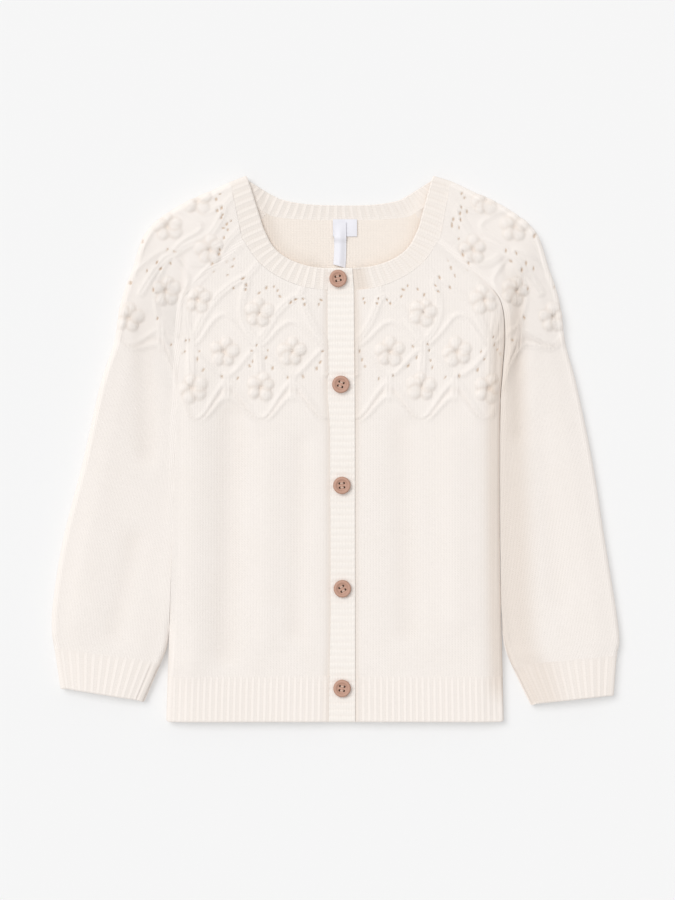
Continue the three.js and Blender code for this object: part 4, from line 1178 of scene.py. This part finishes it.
for side in SIDES:
    at_seam, at_fold = (sleeve_point(side, np.array(across), np.array(float(CUFF_END)))
                        for across in (1.0, 2.0))
    cuff_width = np.linalg.norm(at_fold - at_seam)
    ribs = round(cuff_width / HEM_RIB_PITCH)
    fold_share, turn_share = FOLD_LENGTH / cuff_width, BEND_LENGTH / cuff_width
    stops = np.cumsum([-turn_share, turn_share, 1, fold_share, 1, turn_share])

    def cuff_relief(across, level):
        around = np.interp(across, np.arange(6), stops)
        under = 1 - smooth(around * cuff_width + BEND_LENGTH - UNDER_STRIP, UNDER_STRIP_FADE)
        kept = (1 - smooth(across - 2.5, 0.5)) * smooth((level - CUFF_JOIN) * CUFF_DEPTH, JOIN_FADE)
        details = ribbed(rib_height(around * ribs) * kept * (1 - under))
        # The strip of the under layer sinks and carries painted shade
        shown = under * smooth((level - CUFF_JOIN) * CUFF_DEPTH, 6)
        details[..., 0] -= UNDER_SINK * shown
        details[..., 2] += UNDER_STRIP_SHADE * shown
        # The whole right cuff carries a little painted shade, and more beside its seam
        if side == "right":
            beside_seam = 1 - smooth(around * cuff_width - SHADE_WIDTH, SHADE_FADE)
            details[..., 2] += CUFF_SHADE + CUFF_SEAM_SHADE * beside_seam
        return details

    def cuff_stitch(across, level):
        u = np.interp(across, np.arange(6), stops) * ribs * HEM_RIB_PITCH
        return np.stack([u, (level - CUFF_JOIN) * CUFF_DEPTH], -1)

    cuff_piece = dressed(
        knitted_wall(
            f"cuff_{side}_knit", partial(sleeve_point, side), FACING[side],
            outer=(stretched(10, ribs * 10, 24, 40, 6),
                   joined(spaced(CUFF_JOIN, CUFF_TURN, 14), spaced(CUFF_TURN, CUFF_END, 6))),
            lining=(stretched(4, 24, 10, 20, 4),
                    joined(spaced(CUFF_JOIN, CUFF_TURN, 4), spaced(CUFF_TURN, CUFF_END, 6))),
            stitch=cuff_stitch, relief=cuff_relief, free_edge=cuff_edge,
        ),
        rib_stitch, f"cuff_{side}",
    )


# The neckband: one ribbed strip of the same yarn, from the left front over both shoulders
# and the back of the neck to the right front. It is knitted on to the yoke, without a seam.
NECK_RIB_PITCH = 5.3
NECK_RIB_RISE = 1.25
NECK_STITCH_DEPTH = 0.25
# A darker, tanner copy of the yarn's cream: painted shade in the neckband's deep ribs
NECK_RIB_SHADED_CREAM = (0.93, 0.863, 0.807)
NECKBAND_DEPTH = 15
TUCKED_END = 9
TUCKED_FADE = 8
TUCKED_SINK = 0.9
TUCKED_SHADE = 0.42
UPPER_LAYER = 5
NECK_INSIDE_SHADE = 0.3
front_stations = spaced(0, 2, 60)
sleeve_stations = joined(spaced(0, 2, 42), spaced(2, 3, 24), spaced(3, 5, 44))
back_stations = spaced(0, 3, 90)
NECK_ROUTE = [
    (front_stations, partial(front_point, "left")),
    (sleeve_stations, partial(sleeve_point, "left")),
    (back_stations, back_point),
    (sleeve_stations[::-1], partial(sleeve_point, "right")),
    (front_stations[::-1], partial(front_point, "right")),
]


def neck_line(level):
    """The whole way round the neck at one level."""
    return np.concatenate([point(across, np.full(len(across), level)) for across, point in NECK_ROUTE])


neck_steps = np.linalg.norm(np.diff(neck_line(0.5), axis=0), axis=1)
neck_run = np.concatenate([[0], np.cumsum(np.maximum(neck_steps, 1e-6))])
neck_length = neck_run[-1]


def neckband_point(part, level):
    """Part runs 0 to 1 round the neck. The rows of one grid share a level."""
    part, level = np.broadcast_arrays(part, level)
    result = np.empty(part.shape + (3,))
    for value in np.unique(level):
        line = neck_line(value)
        here = level == value
        run = np.clip(part[here], 0, 1) * neck_length
        result[here] = np.stack([np.interp(run, neck_run, line[:, k]) for k in range(3)], -1)
    return result


neck_ribs = round(neck_length / NECK_RIB_PITCH)
neck_rib = knit_material(
    "neck rib", NECK_RIB_PITCH, RIB_ROW, NECK_STITCH_DEPTH, slant=0.5, colour=NECK_RIB_SHADED_CREAM)


def neck_relief(part, level):
    """Ribs that fade into the yoke, and sink where the end is tucked under the band on top."""
    faded = smooth((NECK_JOIN - level) * NECKBAND_DEPTH, JOIN_FADE)
    tucked = smooth((part - 1) * neck_length + TUCKED_END + TUCKED_FADE / 2, TUCKED_FADE)
    details = ribbed(rib_height(part * neck_ribs) * NECK_RIB_RISE * faded * (1 - tucked))
    details[..., 0] -= TUCKED_SINK * tucked
    spot = neckband_point(part, level)
    inside = (spot[..., 2] < UPPER_LAYER) * neck_shade(spot)
    # Painted shade on the tucked end, and on the lower layer where it rises under the front's neckline
    details[..., 2] += TUCKED_SHADE * tucked + NECK_INSIDE_SHADE * inside
    return details


def neck_stitch(part, level):
    return np.stack([part * neck_ribs * NECK_RIB_PITCH, level * NECKBAND_DEPTH], -1)


neck_columns = spaced(0, 1, neck_ribs * 12)
neck_levels = joined(spaced(0, 0.1, 6), spaced(0.1, NECK_JOIN, 8))
neckband_piece = dressed(
    knitted_wall(
        "neckband_knit", neckband_point, 1,
        outer=(neck_columns, neck_levels), lining=(neck_columns, neck_levels),
        stitch=neck_stitch, relief=neck_relief, lining_relief=neck_relief,
        free_edge=lambda part, level: level * NECKBAND_DEPTH, step=0.1 / neck_length,
    ),
    neck_rib, "neckband",
)


# The front bands: ribbed strips of the same yarn, sewn to the fronts' edges. The one with
# the buttonholes lies on the one that carries the buttons.
BAND_WALL = 2.5
BAND_WIDTH = 18
BAND_STEP = 0.55
EDGE_FIRMNESS = 4
BAND_RIB_PITCH = 4.4
BAND_RIB_RISE = 1.2
BAND_STITCH_WIDTH = 2.2
# The bands' cream is a little lighter than the yarn's: painted light on the raised bands
BAND_LIT_CREAM = (1.0, 0.945, 0.892)
BANDS = {
    "buttonhole_band": {
        "height": HOLE_BAND_HEIGHT,
        "joined": "left",
        "cut": (0.018, 0.2996),
        "rests_on": "button_band_knit",
        "y": FRONT_EDGE["y"],
        "left": [-5.5, -5.6, -5.2, -3.9, -3.5, -3.3, -4.0, -4.7],
        "right": [10.9, 12.0, 12.6, 12.65, 12.72, 12.8, 12.85, 12.9],
    },
    "button_band": {
        "height": 4.35,
        "joined": "right",
        "cut": (0.0185, 0.2986),
        "rests_on": "back_knit",
        "y": [119.6, -179.0],
        "left": [-4.6, -5.4],
        "right": [13.3, 13.3],
    },
}
band_rib = knit_material(
    "band rib", BAND_STITCH_WIDTH, BAND_RIB_PITCH, STITCH_DEPTH, slant=0.3, colour=BAND_LIT_CREAM)
for name, band in BANDS.items():
    stops = np.linspace(0, 1, len(band["y"]))
    band_length = band["y"][0] - band["y"][-1]
    band_ribs = round(band_length / BAND_RIB_PITCH)

    def band_middle(across, level):
        left, right = (np.interp(level, stops, band[side]) for side in SIDES)
        y = np.interp(level, stops, band["y"])
        return np.stack([left + (right - left) * across, y, np.full(across.shape, band["height"])], -1)

    def band_down(level):
        return band["y"][0] - np.interp(level, stops, band["y"])

    def band_relief(across, level):
        return ribbed(rib_height(band_down(level) / band_length * band_ribs) * BAND_RIB_RISE)

    def band_stitch(across, level):
        return np.stack([across * BAND_WIDTH, band_down(level)], -1)

    def band_edge(across, level):
        y = np.interp(level, stops, band["y"])
        ends = np.minimum(band["y"][0] - y, y - band["y"][-1])
        free_side = (across if band["joined"] == "right" else 1 - across) * BAND_WIDTH
        return np.minimum(free_side * EDGE_FIRMNESS, ends)

    stretches = zip(band["y"], band["y"][1:])
    band_rows = stretched(*(max(3, round((high - low) / BAND_STEP)) for high, low in stretches))
    band_levels = band_rows / (len(band["y"]) - 1)
    edge_part = BAND_WALL / 2 / BAND_WIDTH
    band_columns = joined(spaced(0, edge_part, 6), spaced(edge_part, 1 - edge_part, 8),
                          spaced(1 - edge_part, 1, 6))
    band_piece = dressed(
        knitted_wall(
            f"{name}_knit", band_middle, -1,
            outer=(band_columns, band_levels), lining=(band_columns, band_levels[::4]),
            stitch=band_stitch, relief=band_relief, free_edge=band_edge, wall=BAND_WALL,
        ),
        band_rib, name,
    )


# The buttons: five turned wooden discs with a dished middle and four holes. Each is sewn on
# with brown thread, in two bars that run from hole to hole.
BUTTON_HEIGHT = 8.8
HOLE_RADIUS = 0.75
HOLE_SPREAD = 1.4
HOLE_SPOTS = [
    (HOLE_SPREAD, HOLE_SPREAD), (-HOLE_SPREAD, HOLE_SPREAD),
    (-HOLE_SPREAD, -HOLE_SPREAD), (HOLE_SPREAD, -HOLE_SPREAD),
]
BUTTONS = [
    {"x": 1.4, "y": 112.9, "turn": 12},
    {"x": 3.2, "y": 43.2, "turn": -20},
    {"x": 3.9, "y": -23.3, "turn": 5},
    {"x": 4.2, "y": -91.3, "turn": 30},
    {"x": 4.0, "y": -156.9, "turn": -8},
]
# Half section of a button from its middle to its rim and back under it
BUTTON_PROFILE = [
    (0.0, 2.0), (2.4, 2.02), (3.3, 2.12), (3.75, 2.42), (4.2, 2.58), (4.8, 2.6), (5.3, 2.46),
    (5.62, 2.1), (5.75, 1.6), (5.75, 1.0), (5.6, 0.5), (5.2, 0.16), (4.6, 0.0), (0.0, 0.0),
]
BUTTON_SEGMENTS = 72
HOLE_CORNERS = 20
DRILL_LENGTH = 6
WORN_EDGE = 0.12
RIM_START = 4.9
DISH_FOOT = 3.0
DISH_TOP = 3.7
WOOD_LIGHT = (0.60, 0.355, 0.265)
WOOD_DARK = (0.40, 0.215, 0.15)
HOLE_SHADE = (0.16, 0.085, 0.055)
THREAD_LIGHT = (0.76, 0.58, 0.48)
THREAD_TAN = (0.62, 0.43, 0.34)
THREAD_HOLE_SHADE = (0.13, 0.07, 0.045)


def wood_material():
    """Streaked satin wood, darker at the rim and at the foot of the dish, with painted shade in the
    holes.
    """
    material, tree, surface = new_material("button wood")
    place = tree.nodes.new("ShaderNodeTexCoord")
    stretch = tree.nodes.new("ShaderNodeMapping")
    set_sockets(stretch, {"Scale": (900, 90, 300)})
    tree.links.new(place.outputs["Object"], stretch.inputs["Vector"])
    grain = tree.nodes.new("ShaderNodeTexNoise")
    set_sockets(grain, {"Scale": 1.4, "Detail": 5, "Distortion": 0.6})
    tree.links.new(stretch.outputs["Vector"], grain.inputs["Vector"])
    streaks = tree.nodes.new("ShaderNodeMapRange")
    set_sockets(streaks, {"From Min": 0.38, "From Max": 0.68})
    tree.links.new(grain.outputs["Fac"], streaks.inputs["Value"])
    streaked = value_of(tree, "MULTIPLY", streaks.outputs["Result"], 0.6)
    # Darker towards the rim and on the dish's wall, and in the streaks of grain
    rim_and_streaks = value_of(tree, "MULTIPLY_ADD", stored(tree, "rim").outputs["Fac"], 0.45, streaked, clamp=True)
    turned = mixed(tree, rim_and_streaks, WOOD_LIGHT, WOOD_DARK)
    # Painted shade inside the holes
    drilled = mixed(tree, stored(tree, "hole").outputs["Fac"], turned, HOLE_SHADE)
    tree.links.new(drilled, surface.inputs["Base Color"])
    tree.links.new(raised(tree, grain.outputs["Fac"], 0.06), surface.inputs["Normal"])
    rough = value_of(tree, "MULTIPLY_ADD", grain.outputs["Fac"], 0.2, 0.42)
    tree.links.new(rough, surface.inputs["Roughness"])
    return material


def thread_material():
    """Twisted brown thread, with painted shade where it goes down into the holes."""
    material, tree, surface = new_material("button thread")
    place = tree.nodes.new("ShaderNodeTexCoord")
    twist = tree.nodes.new("ShaderNodeTexWave")
    set_sockets(twist, {"Scale": 900})
    tree.links.new(place.outputs["Object"], twist.inputs["Vector"])
    height = tree.nodes.new("ShaderNodeSeparateXYZ")
    tree.links.new(place.outputs["Object"], height.inputs[0])
    # Painted shade: the thread darkens the lower it goes into the holes
    shown = value_of(tree, "MULTIPLY_ADD", height.outputs["Z"], 1.4, -1.9, clamp=True)
    twisted = mixed(tree, twist.outputs["Fac"], THREAD_TAN, THREAD_LIGHT)
    tree.links.new(mixed(tree, shown, THREAD_HOLE_SHADE, twisted), surface.inputs["Base Color"])
    set_sockets(surface, {"Roughness": 0.8})
    return material


button_wood = wood_material()
sewing_thread = thread_material()


def rod(shape, corners, radius, length, middle):
    """A round rod, upright about its middle."""
    made = bmesh.ops.create_cone(
        shape, cap_ends=True, segments=corners, radius1=radius, radius2=radius, depth=length)
    bmesh.ops.translate(shape, verts=made["verts"], vec=middle)


def turned_button(name):
    """The turned disc, with the four holes cut through it."""
    shape = bmesh.new()
    rings = []
    for radius, height in BUTTON_PROFILE[1:-1]:
        rings.append([
            shape.verts.new((radius * math.cos(angle), radius * math.sin(angle), height))
            for angle in np.linspace(0, 2 * math.pi, BUTTON_SEGMENTS, endpoint=False)
        ])
    for inner, outer in zip(rings, rings[1:]):
        for k in range(BUTTON_SEGMENTS):
            after = (k + 1) % BUTTON_SEGMENTS
            shape.faces.new((inner[k], outer[k], outer[after], inner[after]))
    shape.faces.new(rings[0])
    shape.faces.new(rings[-1][::-1])
    bmesh.ops.recalc_face_normals(shape, faces=shape.faces)
    disc = bpy.data.meshes.new(name)
    shape.to_mesh(disc)
    shape.free()
    drill = bmesh.new()
    for hole_x, hole_y in HOLE_SPOTS:
        rod(drill, HOLE_CORNERS, HOLE_RADIUS, DRILL_LENGTH, (hole_x, hole_y, 1))
    bits = bpy.data.meshes.new("drill")
    drill.to_mesh(bits)
    drill.free()
    cut = placed(name, disc)
    tool = placed("drill", bits)
    boolean = cut.modifiers.new("holes", "BOOLEAN")
    boolean.operation = "DIFFERENCE"
    boolean.object = tool
    boolean.solver = "EXACT"
    bevel = cut.modifiers.new("worn edges", "BEVEL")
    bevel.width = WORN_EDGE
    bevel.segments = 2
    bevel.angle_limit = math.radians(50)
    evaluated = cut.evaluated_get(bpy.context.evaluated_depsgraph_get())
    finished = bpy.data.meshes.new_from_object(evaluated)
    bpy.data.objects.remove(cut)
    bpy.data.objects.remove(tool)
    return finished


button_mesh = turned_button("button disc")
button_mesh.shade_smooth()
for edge in button_mesh.edges:
    edge.use_edge_sharp = False
spots = np.array([vertex.co[:] for vertex in button_mesh.vertices])
outwards = np.hypot(spots[:, 0], spots[:, 1])
dish_ring = smooth(outwards - DISH_FOOT, 0.5) - smooth(outwards - DISH_TOP, 0.5)
rim_share = smooth(outwards - RIM_START, 0.8) + 0.8 * dish_ring
in_hole = np.zeros(len(spots))
for hole_x, hole_y in HOLE_SPOTS:
    from_hole = np.hypot(spots[:, 0] - hole_x, spots[:, 1] - hole_y)
    in_hole = np.maximum(in_hole, from_hole < HOLE_RADIUS + 0.02)
for label, share in (("rim", rim_share), ("hole", in_hole)):
    layer = button_mesh.attributes.new(label, "FLOAT", "POINT")
    layer.data.foreach_set("value", share.astype(np.float32))

THREAD_RADIUS = 0.22
THREAD_STEPS = 14
THREAD_SIDES = 8
THREAD_BED = 2.06
THREAD_DIVE = 1.7
STRAND_OFFSET = 0.2
KNOT_RADIUS = 0.7
KNOT_TOP = 1.1
KNOT_CORNERS = 16


def stitch_strand(shape, start_y, offset):
    """One strand of thread that rises from a hole, lies on the button and dives again."""
    rings = []
    for t in np.linspace(0, 1, THREAD_STEPS + 1):
        rise = THREAD_BED + THREAD_RADIUS * 0.9 - THREAD_DIVE * abs(2 * t - 1) ** 5
        rings.append([
            shape.verts.new((
                HOLE_SPREAD * (2 * t - 1),
                start_y + offset + THREAD_RADIUS * math.cos(angle),
                rise + THREAD_RADIUS * math.sin(angle),
            ))
            for angle in np.linspace(0, 2 * math.pi, THREAD_SIDES, endpoint=False)
        ])
    for first, second in zip(rings, rings[1:]):
        for k in range(THREAD_SIDES):
            after = (k + 1) % THREAD_SIDES
            shape.faces.new((first[k], first[after], second[after], second[k]))
    shape.faces.new(rings[0][::-1])
    shape.faces.new(rings[-1])


thread_shape = bmesh.new()
for hole_y in (-HOLE_SPREAD, HOLE_SPREAD):
    for offset in (-STRAND_OFFSET, STRAND_OFFSET):
        stitch_strand(thread_shape, hole_y, offset)
    for hole_x in (-HOLE_SPREAD, HOLE_SPREAD):
        rod(thread_shape, KNOT_CORNERS, KNOT_RADIUS, KNOT_TOP, (hole_x, hole_y, KNOT_TOP / 2))
bmesh.ops.recalc_face_normals(thread_shape, faces=thread_shape.faces)
thread_mesh = bpy.data.meshes.new("button thread")
thread_shape.to_mesh(thread_mesh)
thread_shape.free()
thread_mesh.shade_smooth()
button_mesh.materials.clear()
button_mesh.materials.append(button_wood)
thread_mesh.materials.append(sewing_thread)

for k, button in enumerate(BUTTONS, start=1):
    for kind, shared in (("button", button_mesh), ("thread", thread_mesh)):
        part = placed(f"{kind}_{k}_wood" if kind == "button" else f"{kind}_{k}", shared)
        part.scale = (MILLIMETRE,) * 3
        spot = (button["x"], button["y"] - MIDDLE_Y, BUTTON_HEIGHT)
        part.location = [distance * MILLIMETRE for distance in spot]
        part.rotation_euler = (0, 0, math.radians(button["turn"]))
        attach(part, "root")
        if kind == "button":
            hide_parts(f"button_{k}")


# The labels: a blank satin strip sewn in under the back of the neck, and a longer blank
# strip of the same satin that hangs from it and curls a little.
LABEL_BASE = WALL + SEAM_GAP
LABEL_THICKNESS = 0.5
NECK_LABEL = {"left": -2.0, "right": 13.9, "top": 152.6, "bottom": 141.2}
CARE_LABEL = {"left": -1.4, "right": 6.6, "top": 150.6, "bottom": 121.5}
CARE_LABEL_LEAVES = 140.4
CARE_LABEL_ROLL = 1.1
# Both satin colours are the satin's own pale colour greyed a little: painted shade on the labels in the
# neck opening
SATIN_LIGHT = (0.88, 0.875, 0.905)
SATIN_SHADE = (0.80, 0.79, 0.86)


def satin_material():
    """Pale satin with a fine weave, its own pale colour greyed a little as painted shade."""
    material, tree, surface = new_material("label satin")
    place = tree.nodes.new("ShaderNodeTexCoord")
    weave = tree.nodes.new("ShaderNodeTexWave")
    set_sockets(weave, {"Scale": 500, "Distortion": 0.4})
    tree.links.new(place.outputs["Object"], weave.inputs["Vector"])
    woven = mixed(tree, weave.outputs["Fac"], SATIN_LIGHT, SATIN_SHADE)
    tree.links.new(woven, surface.inputs["Base Color"])
    tree.links.new(raised(tree, weave.outputs["Fac"], 0.04), surface.inputs["Normal"])
    set_sockets(surface, {"Roughness": 0.35, "Sheen Weight": 0.2})
    return material


label_satin = satin_material()


def on_strip(strip, across, level):
    x = strip["left"] + (strip["right"] - strip["left"]) * across
    return x, strip["top"] + (strip["bottom"] - strip["top"]) * level


def neck_label_middle(across, level):
    x, y = on_strip(NECK_LABEL, across, level)
    z = LABEL_BASE + LABEL_THICKNESS / 2 + 0.18 * np.sin(math.pi * level) + 0.08 * np.sin(9 * across)
    return np.stack([x, y, z], -1)


def care_label_middle(across, level):
    """It starts on the other label, comes down beside it and rolls over its width."""
    x, y = on_strip(CARE_LABEL, across, level)
    on_label = 1 - smooth(CARE_LABEL_LEAVES - y, 4.0)
    roll = CARE_LABEL_ROLL * np.sin(math.pi * across) ** 2 * smooth(level, 0.5)
    x = x + 0.5 * np.sin(4 * level) * level
    y = y - 2.4 * (across - 0.5) * smooth(level - 0.3, 0.7)
    return np.stack([x, y, LABEL_BASE + LABEL_THICKNESS / 2 + 1.0 * on_label + roll], -1)


for name, middle in (("neck_label", neck_label_middle), ("care_label", care_label_middle)):
    label = knitted_wall(
        f"{name}_satin", middle, -1,
        outer=(spaced(0, 1, 24), spaced(0, 1, 48)), lining=(spaced(0, 1, 24), spaced(0, 1, 48)),
        stitch=lambda across, level: np.stack([across, level], -1), wall=LABEL_THICKNESS, step=0.01,
    )
    label.data.materials.append(label_satin)
    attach(label, "root")
    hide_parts(name)


# The table it lies on: a smooth pale sheet that reaches past every view. It is only the
# stage, lit by soft daylight from the upper left.
FLOOR_SIDE = 20
FLOOR_DROP = 0.0005
FLOOR_PALE = 0.68
FLOOR_GLOW = 0.229
SKY_STRENGTH = 0.615
SUN_POWER = 1.5
SUN_SOFTNESS = 38
SUN_FROM = (-0.48, 0.4, 0.95)
floor_mesh = bpy.data.meshes.new("table top")
floor_mesh.from_pydata(
    [(x * FLOOR_SIDE, y * FLOOR_SIDE, -FLOOR_DROP) for x, y in ((-1, -1), (1, -1), (1, 1), (-1, 1))],
    [], [(0, 1, 2, 3)])
floor = placed("table_top", floor_mesh)
floor_paint, _, floor_surface = new_material("pale table")
set_sockets(floor_surface, {
    "Base Color": (FLOOR_PALE, FLOOR_PALE, FLOOR_PALE, 1),
    "Emission Color": (1, 1, 1, 1),
    "Emission Strength": FLOOR_GLOW,
    "Roughness": 0.9,
})
floor_mesh.materials.append(floor_paint)

world = bpy.data.worlds.new("studio")
bpy.context.scene.world = world
world.use_nodes = True
set_sockets(world.node_tree.nodes["Background"], {"Color": (1, 1, 1, 1), "Strength": SKY_STRENGTH})

sun_data = bpy.data.lights.new("daylight", "SUN")
sun_data.energy = SUN_POWER
sun_data.angle = math.radians(SUN_SOFTNESS)
sun = placed("daylight", sun_data)
sun.rotation_euler = Vector(SUN_FROM).to_track_quat("Z", "Y").to_euler()

bpy.context.scene.view_settings.view_transform = "Standard"

# The camera looks straight down on the middle of the cardigan, from where VIEW_HEIGHT metres
# fill the height of the frame at the level of the upper layer.
LENS = 85
SENSOR = 36
VIEW_HEIGHT = 0.594
VIEW_MIDDLE = (0.001, -0.0009)
SHARP_PLANE = 0.006
camera_data = bpy.data.cameras.new("camera")
camera_data.lens = LENS
camera_data.sensor_width = SENSOR
camera = placed("camera", camera_data)
camera.location = (*VIEW_MIDDLE, VIEW_HEIGHT * LENS / SENSOR + SHARP_PLANE)
camera.rotation_euler = (0, 0, 0)
bpy.context.scene.camera = camera
